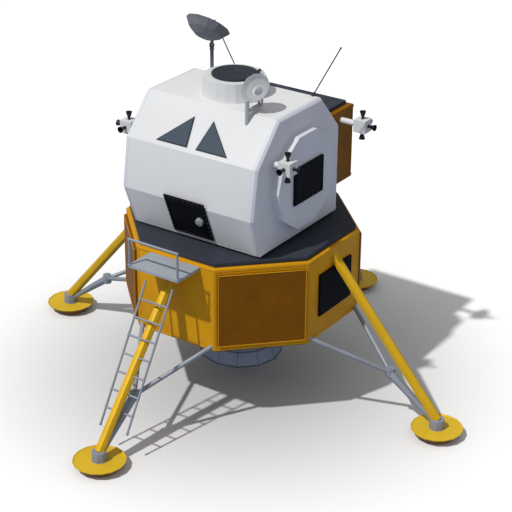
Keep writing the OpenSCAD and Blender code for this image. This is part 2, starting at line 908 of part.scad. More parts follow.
// two cheeks with the pivot pin between them, standing from z0 to the pivot p
module fork(p, z0) {
    for (s = [-1, 1])
        translate([p[0] + s * (cheek_in + cheek_t / 2) - cheek_t / 2, p[1], 0]) {
            translate([0, -28, z0]) cube([cheek_t, 56, p[2] - z0]);
            translate([0, 0, p[2]]) rotate([0, 90, 0]) cylinder(r = 28, h = cheek_t, $fn = 48);
        }
    bar(p - [cheek_in + 4, 0, 0], p + [cheek_in + 4, 0, 0], pivot_pin_d);
}

// round post from z0 to z1 at (x, y), with a spigot for what turns on it
module post(x, y, z0, z1, d) {
    translate([x, y, z0]) cylinder(d = d, h = z1 - z0, $fn = 48);
    translate([x, y, z1 - 1]) cylinder(d = spigot_d, h = 51, $fn = 48);
}

// blind bore that turns on a spigot
module socket(x, y, z) {
    translate([x, y, z - 1]) cylinder(d = spigot_d + 2 * fit, h = 55, $fn = 48);
}

module dish_mast() {
    color([0.4, 0.42, 0.46]) {
        post(mast_x, mast_y, roof_z, yoke_z - 2, mast_d);
        translate([mast_x, mast_y, roof_z]) cylinder(d = mast_d + 70, h = 20, $fn = 48);
    }
}

module dish_yoke() {
    color([0.36, 0.38, 0.42])
    difference() {
        union() {
            translate([mast_x, mast_y, yoke_z]) cylinder(d = 2 * (cheek_in + cheek_t), h = 76,
                $fn = 48);
            fork([mast_x, mast_y, mast_z], yoke_z + 70);
        }
        socket(mast_x, mast_y, yoke_z);
    }
}

// lug at a dish's back, from its pivot p to point q, with the pivot's bore
module lug(p, q) {
    difference() {
        union() {
            bar(p - [20, 0, 0], p + [20, 0, 0], 48);
            hull() {
                bar(p - [20, 0, 0], p + [20, 0, 0], 40, 32);
                bar(q - [20, 0, 0], q + [20, 0, 0], 60, 32);
            }
        }
        bar(p - [21, 0, 0], p + [21, 0, 0], pivot_pin_d + 2 * fit);
    }
}

module dish_antenna() {
    ball = (dish_r * dish_r + dish_depth * dish_depth) / (2 * dish_depth);
    centre = [mast_x, mast_y + 30, mast_z + 84 + ball];
    color([0.5, 0.52, 0.56]) {
        translate(centre) rotate([-(90 - dish_tilt), 0, 0]) translate([0, 0, -ball]) {
            bowl(dish_r, dish_depth, dish_wall);
            translate([0, 0, dish_wall]) cylinder(r1 = 70, r2 = 20, h = 150, $fn = 32);
        }
        lug([mast_x, mast_y, mast_z], [mast_x, mast_y + 8, mast_z + 66]);
    }
}

module radar_post() {
    color([0.45, 0.47, 0.51])
    difference() {
        post(radar_x, radar_y, roof_z - 300, radar_yoke_z - 2, 80);
        cabin_solid();
    }
}

module radar_yoke() {
    arm_z = roof_z + 55;
    color([0.42, 0.44, 0.48])
    difference() {
        union() {
            translate([radar_x, radar_y, radar_yoke_z])
                cylinder(d = 80, h = roof_z + radar_rise - radar_yoke_z, $fn = 48);
            translate([radar_x - cheek_in - cheek_t, radar_y, arm_z])
                cube([2 * (cheek_in + cheek_t), radar_back + 28, 48]);
            fork(radar_pivot, arm_z + 40);
        }
        socket(radar_x, radar_y, radar_yoke_z);
    }
}

module radar_dish() {
    axis = [0, -cos(radar_tilt), sin(radar_tilt)];
    back = radar_pivot + axis * 52;
    color([0.62, 0.64, 0.68]) {
        translate(back) rotate([90 - radar_tilt, 0, 0]) {
            bowl(radar_r, radar_depth, dish_wall);
            translate([0, 0, dish_wall]) cylinder(r1 = 62, r2 = 14, h = 90, $fn = 32);
        }
        lug(radar_pivot, radar_pivot + axis * 40);
    }
}

module whip_antennas() {
    color([0.25, 0.26, 0.29])
    difference() {
        for (w = WHIPS) {
            bar(w[0] - unit(w[1] - w[0]) * 60, w[1], whip_d);
            bar(w[0] - unit(w[1] - w[0]) * 60, w[0] + unit(w[1] - w[0]) * 50, whip_d * 2.4);
        }
        cabin_solid();
    }
}

descent_body();
base_shield();
deck();
corner_panels();
leg_panels();
main_strut_front();
main_strut_right();
main_strut_rear();
main_strut_left();
side_struts();
lower_links();
footpad_front();
footpad_right();
footpad_rear();
footpad_left();
porch();
porch_rail();
ladder_rails();
ladder_rungs();
engine_mount();
gimbal_ring();
engine_bell();
interstage_fittings();
cabin_floor();
cabin_front();
cabin_roof();
cabin_rear();
cabin_side_left();
cabin_side_right();
bulge_panels();
windows();
console();
ascent_engine();
hatch_frame();
hatch_hinge();
front_hatch();
hatch_handle();
tunnel_collar();
docking_lid();
aft_bay();
bay_cover();
thruster_blocks();
thruster_nozzles();
dish_mast();
dish_yoke();
dish_antenna();
radar_post();
radar_yoke();
radar_dish();
whip_antennas();
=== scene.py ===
import json
import math

import bmesh
import bpy
from bpy.props import FloatProperty, FloatVectorProperty, IntProperty, PointerProperty
from bpy.types import Operator, Panel, PropertyGroup
from mathutils import Matrix, Vector


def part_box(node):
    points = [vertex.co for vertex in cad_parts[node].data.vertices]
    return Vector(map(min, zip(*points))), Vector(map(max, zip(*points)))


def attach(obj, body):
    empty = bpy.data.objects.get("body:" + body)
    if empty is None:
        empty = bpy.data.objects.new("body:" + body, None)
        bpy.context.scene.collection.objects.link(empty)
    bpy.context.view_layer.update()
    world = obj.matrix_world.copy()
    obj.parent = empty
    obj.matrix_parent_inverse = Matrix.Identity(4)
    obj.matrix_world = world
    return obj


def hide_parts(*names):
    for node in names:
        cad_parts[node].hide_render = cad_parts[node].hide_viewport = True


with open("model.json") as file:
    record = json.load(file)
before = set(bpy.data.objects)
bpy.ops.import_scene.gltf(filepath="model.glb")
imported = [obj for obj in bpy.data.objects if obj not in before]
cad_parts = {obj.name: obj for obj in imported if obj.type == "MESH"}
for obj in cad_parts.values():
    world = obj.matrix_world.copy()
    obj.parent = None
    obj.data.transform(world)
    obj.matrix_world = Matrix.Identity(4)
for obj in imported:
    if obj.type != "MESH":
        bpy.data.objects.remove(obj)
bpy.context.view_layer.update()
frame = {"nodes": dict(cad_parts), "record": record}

bl_info = {
    "name": "Lunar Module",
    "version": (1, 0, 0),
    "blender": (4, 5, 0),
    "location": "3D View > Sidebar > Lander",
    "description": "Builds the visual pieces and finishes of a two-part lunar lander",
    "category": "Object",
}

BODY_OF = {n: b for b, nodes in frame["record"]["behaviour"]["bodies"].items() for n in nodes}
SLOT_OF = {p["node"]: p["material_slot"] for p in frame["record"]["subparts"]}
LEGS = {"front": -90.0, "right": 0.0, "rear": 90.0, "left": 180.0}


# ---------- sizes and colours ----------

def length(name, text, default):
    return FloatProperty(name=name, description=text, default=default, min=0.0, unit="LENGTH")


def colour(name, text, default):
    return FloatVectorProperty(name=name, description=text, default=default, size=3,
                               subtype="COLOR", min=0.0, max=1.0)


class LanderSizes(PropertyGroup):
    pad_sides: IntProperty(name="Footpad sides", description="Flat sides round each footpad",
                           default=16, min=8, max=64)
    pad_lip: length("Footpad lip", "Height of the rolled lip round each footpad", 0.012)
    trim_width: length("Edge trim width", "Width of the bright trim along the body's edges", 0.05)
    trim_proud: length("Edge trim height", "How far the trim stands out from the foil", 0.007)
    edge: length("Edge bevel", "Width of the bevel on the main panels' edges", 0.014)
    small_edge: length("Small bevel", "Width of the bevel on small parts", 0.005)
    nozzle_wall: length("Nozzle wall", "Wall thickness of the small thruster nozzles", 0.006)
    rivet: length("Rivet radius", "Radius of the rivet heads", 0.0085)
    rivet_step: length("Rivet spacing", "Distance between rivets along a seam", 0.115)
    collar_sides: IntProperty(name="Tunnel sides", description="Flat sides of the docking tunnel",
                              default=20, min=8, max=64)


class LanderColours(PropertyGroup):
    gold: colour("Gold foil", "Foil on the lower body", (0.70, 0.340, 0.006))
    gold_shade: colour("Gold foil folds", "Darker tone in the foil's folds", (0.62, 0.290, 0.005))
    trim: colour("Gold trim", "Edge trim of the lower body", (0.74, 0.41, 0.015))
    amber: colour("Amber foil", "Foil on the diagonal panels", (0.240, 0.084, 0.001))
    # painted light: the strut and pad golds are the body's gold foil made lighter and yellower, the
    # way its sunlit faces look
    strut: colour("Strut gold", "Foil on the main struts and footpads", (0.70, 0.415, 0.012))
    pad: colour("Pad gold", "Foil on the footpads", (0.715, 0.468, 0.023))
    cabin: colour("Cabin white", "Painted skin of the cabin", (0.67, 0.675, 0.68))
    # painted shade: the end walls are the cabin white tinted blue, standing in for the bluish shade
    # light on walls the sun misses
    end_wall_shaded_blue: colour("End wall grey", "Painted end walls of the cabin", (0.655, 0.665, 0.72))
    black: colour("Black panel", "Hatch, side panels and covers", (0.007, 0.0075, 0.010))
    deck: colour("Deck", "Top deck of the lower body", (0.036, 0.042, 0.058))
    metal: colour("Bare metal", "Side struts, ladder and rails", (0.30, 0.33, 0.38))
    glass: colour("Window glass", "Tint of the cabin windows", (0.075, 0.10, 0.135))


# ---------- mesh helpers ----------

def block(bm, low, high):
    """Box between two corners."""
    low, high = Vector(low), Vector(high)
    size = high - low
    place = Matrix.Translation((low + high) / 2) @ Matrix.Diagonal((*size, 1.0))
    return bmesh.ops.create_cube(bm, size=1.0, matrix=place)["verts"]


def along(start, end):
    """Placement whose Z axis runs from start to end, at their middle."""
    start, end = Vector(start), Vector(end)
    turn = (end - start).to_track_quat("Z", "Y").to_matrix().to_4x4()
    return Matrix.Translation((start + end) / 2) @ turn, (end - start).length


def rod(bm, start, end, r1, r2=None, sides=16, turn=0.0):
    """Closed bar from start to end, radius r1 to r2."""
    place, reach = along(start, end)
    place = place @ Matrix.Rotation(turn, 4, "Z")
    return bmesh.ops.create_cone(bm, cap_ends=True, segments=sides, radius1=r1,
                                 radius2=r1 if r2 is None else r2, depth=reach,
                                 matrix=place)["verts"]


def lathe(bm, profile, sides, place=None, closed=True):
    """Spins (radius, height) points round Z; a closed profile makes a ring."""
    verts = [bm.verts.new((r, 0.0, z)) for r, z in profile]
    pairs = list(zip(verts, verts[1:])) + ([(verts[-1], verts[0])] if closed else [])
    edges = [bm.edges.new(p) for p in pairs]
    made = bmesh.ops.spin(bm, geom=verts + edges, cent=(0, 0, 0), axis=(0, 0, 1),
                          angle=math.tau, steps=sides, use_merge=True, use_duplicate=False)
    parts = set(verts)
    todo = list(verts) + [g for g in made["geom_last"] if isinstance(g, bmesh.types.BMVert)]
    while todo:
        v = todo.pop()
        parts.add(v)
        todo.extend(o for e in v.link_edges for o in [e.other_vert(v)] if o not in parts)
    parts = [v for v in parts if v.is_valid]
    if place is not None:
        bmesh.ops.transform(bm, matrix=place, verts=parts)
    return parts


def raised(bm, faces, lift):
    """Extrudes faces by lift; gives the new vertices and the new faces."""
    made = bmesh.ops.extrude_face_region(bm, geom=faces)["geom"]
    verts, tops = ([g for g in made if isinstance(g, kind)]
                   for kind in (bmesh.types.BMVert, bmesh.types.BMFace))
    bmesh.ops.translate(bm, vec=lift, verts=verts)
    return verts, tops


def eighth(k):
    """Turn by k eighths of a circle round Z."""
    return Matrix.Rotation(math.tau * k / 8, 3, "Z")


def turned(bm, verts, turn):
    bmesh.ops.rotate(bm, verts=verts, cent=(0, 0, 0), matrix=turn)


def moved(bm, place):
    """Moves the whole mesh."""
    bmesh.ops.transform(bm, matrix=place, verts=bm.verts)


def evenly(first, last, count):
    """Evenly spaced values, both ends included."""
    return [first + (last - first) * k / (count - 1) for k in range(count)]


def border(x0, x1, z0, z1, wide, gap=0.001):
    """Four bars just inside a rectangle, as (x0, x1, z0, z1): top, bottom and both sides."""
    side = (z0 + wide + gap, z1 - wide - gap)
    return ((x0, x1, z1 - wide, z1), (x0, x1, z0, z0 + wide),
            (x0, x0 + wide, *side), (x1 - wide, x1, *side))


def soften(bm, width, angle=25.0, segments=2):
    """Bevels every edge sharper than angle."""
    sharp = [e for e in bm.edges if len(e.link_faces) == 2
             and e.calc_face_angle(0.0) > math.radians(angle)]
    if sharp:
        bmesh.ops.bevel(bm, geom=sharp, offset=width, offset_type="OFFSET", segments=segments,
                        profile=0.5, affect="EDGES", clamp_overlap=True, material=-1)


def piece(name, bm, finish, body="lander", outward=True, flat=18.0):
    """Turns the mesh into an object that rides on a body, with a finish."""
    bmesh.ops.remove_doubles(bm, verts=bm.verts, dist=1e-6)
    if outward:
        bmesh.ops.recalc_face_normals(bm, faces=bm.faces)
    for face in bm.faces:
        face.smooth = True
    for e in bm.edges:
        e.smooth = len(e.link_faces) == 2 and e.calc_face_angle(0.0) < math.radians(flat)
    mesh = bpy.data.meshes.new(name)
    bm.to_mesh(mesh)
    bm.free()
    obj = bpy.data.objects.new(name, mesh)
    bpy.context.scene.collection.objects.link(obj)
    mesh.materials.append(FINISHES[finish])
    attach(obj, body)
    return obj


def node_copy(node):
    """The node's shape as one merged mesh, with its flat areas whole again."""
    bm = bmesh.new()
    bm.from_mesh(frame["nodes"][node].data)
    bmesh.ops.remove_doubles(bm, verts=bm.verts, dist=2e-5)
    bmesh.ops.dissolve_limit(bm, angle_limit=math.radians(0.6), verts=bm.verts, edges=bm.edges)
    return bm


def bevelled(node, finish, width=None, angle=25.0):
    """A copy of a node with soft edges, standing for it; the small bevel unless width is given."""
    bm = node_copy(node)
    soften(bm, width or bpy.context.scene.lander_sizes.small_edge, angle)
    obj = piece(node + "_skin", bm, finish, BODY_OF[node], outward=False)
    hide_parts(node)
    return obj


def polar(r, degrees, z=0.0):
    a = math.radians(degrees)
    return Vector((r * math.cos(a), r * math.sin(a), z))


# ---------- finishes ----------

FINISHES = {}
UNDO = {"REGISTER", "UNDO"}


def new_group(name, inputs):
    """Node group with the given inputs, and a surface's tone, roughness and height as outputs."""
    tree = bpy.data.node_groups.new(name, "ShaderNodeTree")
    for label, kind, value in inputs:
        socket = tree.interface.new_socket(label, in_out="INPUT", socket_type="NodeSocket" + kind)
        socket.default_value = value
    for label, kind in (("Color", "Color"), ("Roughness", "Float"), ("Height", "Float")):
        tree.interface.new_socket(label, in_out="OUTPUT", socket_type="NodeSocket" + kind)
    return tree, tree.nodes.new("NodeGroupInput"), tree.nodes.new("NodeGroupOutput")


def put(node, values):
    """Sets a node's inputs; a colour may be given as three numbers."""
    for label, value in values.items():
        node.inputs[label].default_value = (*value, 1.0) if isinstance(value, tuple) else value


def math_node(tree, kind, a, b):
    n = tree.nodes.new("ShaderNodeMath")
    n.operation = kind
    for socket, value in zip(n.inputs, (a, b)):
        if isinstance(value, (int, float)):
            socket.default_value = value
        else:
            tree.links.new(value, socket)
    return n.outputs[0]


def weighted(tree, a, share, b, other):
    """a * share + b * other."""
    return math_node(tree, "ADD", math_node(tree, "MULTIPLY", a, share),
                     math_node(tree, "MULTIPLY", b, other))


def noise(tree, vector, scale, detail=3.0, rough=0.55):
    n = tree.nodes.new("ShaderNodeTexNoise")
    put(n, {"Detail": detail, "Roughness": rough})
    if isinstance(scale, (int, float)):
        n.inputs["Scale"].default_value = scale
    else:
        tree.links.new(scale, n.inputs["Scale"])
    tree.links.new(vector, n.inputs["Vector"])
    return n.outputs["Fac"]


def spread(tree, value, settings):
    """Map Range node; settings are its input names and values."""
    n = tree.nodes.new("ShaderNodeMapRange")
    put(n, settings)
    tree.links.new(value, n.inputs["Value"])
    return n


def blend(tree, factor, first, second):
    """Colour mix; each colour is a socket or a fixed colour."""
    n = tree.nodes.new("ShaderNodeMix")
    n.data_type = "RGBA"
    tree.links.new(factor, n.inputs["Factor"])
    for k, tone in ((6, first), (7, second)):
        if isinstance(tone, tuple):
            put(n, {k: tone})
        else:
            tree.links.new(tone, n.inputs[k])
    return n.outputs[2]


def make_foil_group():
    """Crinkled metal foil: folds from cells, broken up by fine creases."""
    tree, gi, go = new_group(
        "foil_crinkle",
        [("Vector", "Vector", (0, 0, 0)), ("Fold Size", "Float", 6.0),
         ("Base", "Color", (0.5, 0.3, 0.05, 1)),
         ("Fold", "Color", (0.4, 0.2, 0.03, 1))])
    link = tree.links.new
    vec, size = gi.outputs["Vector"], gi.outputs["Fold Size"]
    cells = tree.nodes.new("ShaderNodeTexVoronoi")
    cells.feature = "DISTANCE_TO_EDGE"
    link(vec, cells.inputs["Vector"])
    link(size, cells.inputs["Scale"])
    broad = noise(tree, vec, math_node(tree, "MULTIPLY", size, 0.35), 2.0)
    fine = noise(tree, vec, math_node(tree, "MULTIPLY", size, 6.0), 4.0, 0.6)
    steep = math_node(tree, "MULTIPLY", cells.outputs["Distance"], 3.0)
    crease = math_node(tree, "MINIMUM", steep, 1.0)
    height = math_node(tree, "ADD", crease, math_node(tree, "MULTIPLY", fine, 0.5))
    tone = spread(tree, weighted(tree, broad, 0.6, fine, 0.4), {"From Min": 0.35, "From Max": 0.65})
    rough = spread(tree, fine, {"To Min": 0.36, "To Max": 0.52})
    link(blend(tree, tone.outputs["Result"], gi.outputs["Fold"], gi.outputs["Base"]),
         go.inputs["Color"])
    link(rough.outputs["Result"], go.inputs["Roughness"])
    link(height, go.inputs["Height"])
    return tree


def make_paint_group():
    """Painted or bare sheet metal: faint mottling, fine grain and soft unevenness."""
    tree, gi, go = new_group(
        "sheet_metal",
        [("Vector", "Vector", (0, 0, 0)), ("Grain Size", "Float", 40.0),
         ("Base", "Color", (0.6, 0.6, 0.6, 1)),
         ("Stain", "Color", (0.5, 0.5, 0.5, 1)),
         ("Rough Low", "Float", 0.4), ("Rough High", "Float", 0.6)])
    link = tree.links.new
    vec, size = gi.outputs["Vector"], gi.outputs["Grain Size"]
    broad = noise(tree, vec, math_node(tree, "MULTIPLY", size, 0.04), 3.0)
    fine = noise(tree, vec, size, 4.0, 0.65)
    tone = spread(tree, weighted(tree, broad, 0.75, fine, 0.25),
                  {"From Min": 0.30, "From Max": 0.62})
    rough = spread(tree, fine, {})
    link(gi.outputs["Rough Low"], rough.inputs["To Min"])
    link(gi.outputs["Rough High"], rough.inputs["To Max"])
    link(blend(tree, tone.outputs["Result"], gi.outputs["Stain"], gi.outputs["Base"]),
         go.inputs["Color"])
    link(rough.outputs["Result"], go.inputs["Roughness"])
    link(weighted(tree, broad, 1.0, fine, 0.12), go.inputs["Height"])
    return tree


def finish(name, group, size, base, other, metallic, bump, reach, smooth=None, rough=None,
           shine=0.5, low=None):
    """A material on object coordinates; low is a height and the painted shade tone below it."""
    mat = bpy.data.materials.new(name)
    mat.use_nodes = True
    tree = mat.node_tree
    link = tree.links.new
    shader = tree.nodes["Principled BSDF"]
    place = tree.nodes.new("ShaderNodeTexCoord")
    effect = tree.nodes.new("ShaderNodeGroup")
    effect.node_tree = group
    link(place.outputs["Object"], effect.inputs["Vector"])
    put(effect, {1: size, 2: tuple(base), 3: tuple(other)})
    if rough is not None:
        put(effect, {"Rough Low": smooth, "Rough High": rough})
    dent = tree.nodes.new("ShaderNodeBump")
    put(dent, {"Strength": bump, "Distance": reach})
    tone = effect.outputs["Color"]
    # painted shade: below the given height the tone gives way to a darker one, as under the footpads
    if low is not None:
        split = tree.nodes.new("ShaderNodeSeparateXYZ")
        link(place.outputs["Object"], split.inputs[0])
        step = spread(tree, split.outputs["Z"],
                      {"From Min": low[0] - LOW_SHADE_BLUR, "From Max": low[0] + LOW_SHADE_BLUR})
        tone = blend(tree, step.outputs["Result"], low[1], tone)
    link(tone, shader.inputs["Base Color"])
    link(effect.outputs["Roughness"], shader.inputs["Roughness"])
    link(effect.outputs["Height"], dent.inputs["Height"])
    link(dent.outputs["Normal"], shader.inputs["Normal"])
    put(shader, {"Metallic": metallic, "Specular IOR Level": shine})
    mat.diffuse_color = (*base, 1.0)
    FINISHES[name] = mat
    return shader


def shade(c, k):
    return tuple(min(1.0, x * k) for x in c)


LOW_SHADE_BLUR = 0.003  # half the height over which the painted lower shade tone gives way
PAD_SOLE_SHADE = (0.157, (0.40, 0.17, 0.05))  # height and painted shade tone of a footpad's underside


def make_finishes(c):
    """Both tables hold name, grain or fold size, tone, second tone, metallic, bump and its reach."""
    foil, sheet = make_foil_group(), make_paint_group()
    # then the shine
    foils = (
        ("gold_foil", 5.0, c.gold, c.gold_shade, 0.10, 0.22, 0.010, 0.15),
        ("trim_gold", 14.0, c.trim, shade(c.trim, 0.88), 0.10, 0.12, 0.004, 0.2),
        ("shield_foil", 5.0, shade(c.amber, 1.1), shade(c.amber, 0.7), 0.15, 0.25, 0.010, 0.15),
        ("amber_foil", 7.0, c.amber, shade(c.amber, 0.82), 0.10, 0.16, 0.008, 0.12),
        # painted light: the strut and pad foils are lighter, yellower copies of the gold foil, as
        # lit
        ("strut_foil", 9.0, c.strut, shade(c.strut, 0.86), 0.10, 0.14, 0.006, 0.2),
        ("pad_foil", 10.0, c.pad, shade(c.pad, 0.9), 0.08, 0.12, 0.006, 0.15),
        ("bay_foil", 6.0, (0.26, 0.105, 0.005), (0.20, 0.078, 0.003), 0.05, 0.20, 0.008, 0.06))
    for name, *row, shine in foils:
        finish(name, foil, *row, shine=shine, low=PAD_SOLE_SHADE if name == "pad_foil" else None)
    # then the lowest and highest roughness, and the shine where it is not 0.5
    sheets = (
        ("cabin_paint", 26.0, c.cabin, shade(c.cabin, 0.95), 0.0, 0.05, 0.006, 0.45, 0.62),
        # painted highlight: the roof's paint is the cabin white made lighter, as the sunlit roof
        # looks
        ("roof_paint", 26.0, shade(c.cabin, 1.09), shade(c.cabin, 1.04), 0.0, 0.05, 0.006,
         0.45, 0.62),
        # painted shade: the end paint's blue tint stands in for bluish shade light
        ("end_paint", 26.0, c.end_wall_shaded_blue, shade(c.end_wall_shaded_blue, 0.94), 0.0, 0.05, 0.006, 0.5, 0.65),
        ("black_panel", 40.0, c.black, shade(c.black, 0.6), 0.0, 0.06, 0.004, 0.5, 0.7, 0.06),
        ("deck_sheet", 30.0, c.deck, shade(c.deck, 0.75), 0.0, 0.08, 0.005, 0.5, 0.72, 0.15),
        ("bare_metal", 60.0, c.metal, shade(c.metal, 0.8), 0.25, 0.05, 0.002, 0.35, 0.5),
        ("collar_metal", 60.0, (0.27, 0.31, 0.41), (0.22, 0.25, 0.33), 0.15, 0.05, 0.002,
         0.38, 0.52),
        ("porch_metal", 50.0, (0.355, 0.385, 0.43), (0.31, 0.34, 0.38), 0.10, 0.06, 0.002,
         0.45, 0.6),
        ("engine_metal", 50.0, (0.24, 0.25, 0.28), (0.18, 0.19, 0.22), 0.7, 0.05, 0.002, 0.3, 0.45),
        ("bell_metal", 30.0, (0.28, 0.33, 0.45), (0.22, 0.265, 0.37), 0.05, 0.06, 0.003, 0.45, 0.6),
        ("nozzle_black", 90.0, (0.006, 0.006, 0.008), (0.004, 0.004, 0.005), 0.2, 0.08, 0.001,
         0.4, 0.55),
        ("dark_metal", 60.0, (0.12, 0.135, 0.165), (0.09, 0.10, 0.125), 0.25, 0.05, 0.002,
         0.4, 0.55),
        ("whip_black", 60.0, (0.030, 0.032, 0.040), (0.020, 0.022, 0.028), 0.0, 0.05, 0.001, 0.4,
         0.55, 0.3),
        ("lid_dark", 50.0, (0.034, 0.038, 0.052), (0.027, 0.030, 0.042), 0.0, 0.06, 0.002, 0.5,
         0.65, 0.15),
        ("dish_metal", 45.0, (0.40, 0.41, 0.43), (0.35, 0.36, 0.38), 0.0, 0.04, 0.002, 0.32, 0.45),
        ("dish_dark", 45.0, (0.175, 0.185, 0.205), (0.145, 0.155, 0.175), 0.0, 0.04, 0.002, 0.45,
         0.6, 0.2),
        ("handle_metal", 70.0, (0.34, 0.36, 0.40), (0.29, 0.31, 0.35), 0.1, 0.04, 0.001, 0.35, 0.5),
        ("window_glass", 20.0, c.glass, shade(c.glass, 0.8), 0.0, 0.02, 0.002, 0.10, 0.16),
        ("gasket", 80.0, (0.02, 0.022, 0.028), (0.014, 0.015, 0.02), 0.0, 0.08, 0.001, 0.6, 0.75))
    for name, *row in sheets:
        shader = finish(name, sheet, *row)
        if name == "window_glass":
            put(shader, {"Transmission Weight": 0.15, "IOR": 1.5})


# finishes of the slots whose finish has another name
SLOT_FINISH = {
    "deck_dark": "deck_sheet", "corner_foil": "amber_foil", "strut_gold": "strut_foil",
    "strut_grey": "bare_metal", "pad_gold": "pad_foil", "porch_grey": "porch_metal",
    "tube_grey": "bare_metal", "bell_blue": "bell_metal", "fitting": "bare_metal",
    "cabin_white": "cabin_paint", "cabin_grey": "end_paint", "console_black": "dark_metal",
    "handle_grey": "handle_metal", "bay_brown": "bay_foil", "antenna_dark": "dark_metal",
    "dish_grey": "dish_metal",
}


class LANDER_OT_finishes(Operator):
    """Makes every finish and gives it to the frame's own parts"""
    bl_idname = "lander.finishes"
    bl_label = "Finishes"
    bl_options = UNDO

    def execute(self, context):
        make_finishes(context.scene.lander_colours)
        for node, obj in frame["nodes"].items():
            mat = FINISHES[SLOT_FINISH.get(SLOT_OF[node], SLOT_OF[node])]
            for k in range(max(1, len(obj.material_slots))):
                if obj.material_slots:
                    obj.material_slots[k].material = mat
                else:
                    obj.data.materials.append(mat)
        for node, name in (("dish_antenna", "dish_dark"), ("whip_antennas", "whip_black")):
            frame["nodes"][node].material_slots[0].material = FINISHES[name]
        return {"FINISHED"}


# ---------- lower body ----------

SINK = 0.004  # how deep a strip's back lies in what carries it
TRIM_INSET, TRIM_DROP = 0.002, 0.016  # from the body's corners and from its upper and lower edges
LOW_TRIM, POST_TRIM = 0.7, 0.9  # widths of the lower strip and the corner posts, as shares
PANEL_HALF, PANEL_MARGIN, PANEL_OUT, PANEL_BAR, PANEL_LIFT = 0.87, 0.115, 0.060, 0.024, 0.006
BUTTON, BUTTON_REACH = (0.016, 0.011), 0.78  # foot and head radius; sideways reach of a row


class LANDER_OT_lower_body(Operator):
    """Foil-covered octagon with bright edge trim, framed panels and the dark deck"""
    bl_idname = "lander.lower_body"
    bl_label = "Lower body"
    bl_options = UNDO

    def execute(self, context):
        s = context.scene.lander_sizes
        bevelled("descent_body", "gold_foil", s.edge)
        bevelled("base_shield", "shield_foil")
        bevelled("deck", "deck_sheet", s.edge)
        bevelled("corner_panels", "amber_foil", s.small_edge * 2)
        bevelled("leg_panels", "black_panel", s.small_edge * 2)
        low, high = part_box("descent_body")
        flat = high.x
        half = flat * math.tan(math.pi / 8)
        corner = half - TRIM_INSET
        back, front = flat - SINK, flat + s.trim_proud
        top, bottom = high.z - TRIM_DROP, low.z + TRIM_DROP
        upper, lower = top - s.trim_width, bottom + s.trim_width * LOW_TRIM
        bm = bmesh.new()
        for k in range(8):
            strips = block(bm, (back, -corner, upper), (front, corner, top))
            strips += block(bm, (back, -corner, bottom), (front, corner, lower))
            for side in (-1, 1):
                y0, y1 = sorted((side * (half - 2 * TRIM_INSET),
                                 side * (half - s.trim_width * POST_TRIM)))
                strips += block(bm, (back, y0, lower), (front, y1, upper))
            turned(bm, strips, eighth(k))
        soften(bm, 0.003, 40.0, 1)
        piece("body_edge_trim", bm, "gold_foil")
        # frame round each diagonal panel
        out = flat + PANEL_OUT
        bm = bmesh.new()
        for k in (1, 3, 5, 7):
            made = []
            for y0, y1, z0, z1 in border(-PANEL_HALF, PANEL_HALF, low.z + PANEL_MARGIN,
                                         high.z - PANEL_MARGIN, PANEL_BAR, gap=0.0):
                made += block(bm, (out - SINK, y0 + 0.004, z0 + 0.003),
                              (out + PANEL_LIFT, y1 - 0.004, z1 - 0.003))
            turned(bm, made, eighth(k))
        soften(bm, 0.002, 40.0, 1)
        piece("panel_frames", bm, "gold_foil")
        self.buttons(low, high, flat)
        return {"FINISHED"}

    def buttons(self, low, high, flat):
        """Hold-down buttons on the foil."""
        bm = bmesh.new()
        for k in (0, 2, 4, 6):
            turn = eighth(k)
            out = turn @ Vector((1, 0, 0))
            for z in (low.z + 0.10, high.z - 0.12):
                for y in evenly(-BUTTON_REACH, BUTTON_REACH, 7):
                    at = turn @ Vector((flat, y, z))
                    rod(bm, at - out * 0.002, at + out * 0.007, *BUTTON, 8)
        piece("foil_buttons", bm, "trim_gold")


# ---------- landing gear ----------

STRUT_HEAD, STRUT_FOOT, STRUT_RADIUS = Vector((2.246, 0.0, 3.20)), Vector((4.70, 0.0, 0.33)), 0.105
KNUCKLE, LINK_FOOT = Vector((3.6, 0.0, 1.05)), Vector((4.70, 0.0, 0.225))
SIDE_STRUT_FOOT = (0.84, 1.755)  # sideways and up, on the body's wall
PAD_RADIUS, SOLE_RADIUS, PAD_TOP, PAD_EDGE = 0.520, 0.360, 0.175, 0.014
COLLAR_TOP, COLLAR_RADIUS = 0.365, 0.150
BOOT_SHARE, BOOT = 0.86, (0.098, 0.060)  # share of the link under the boot; its end radii


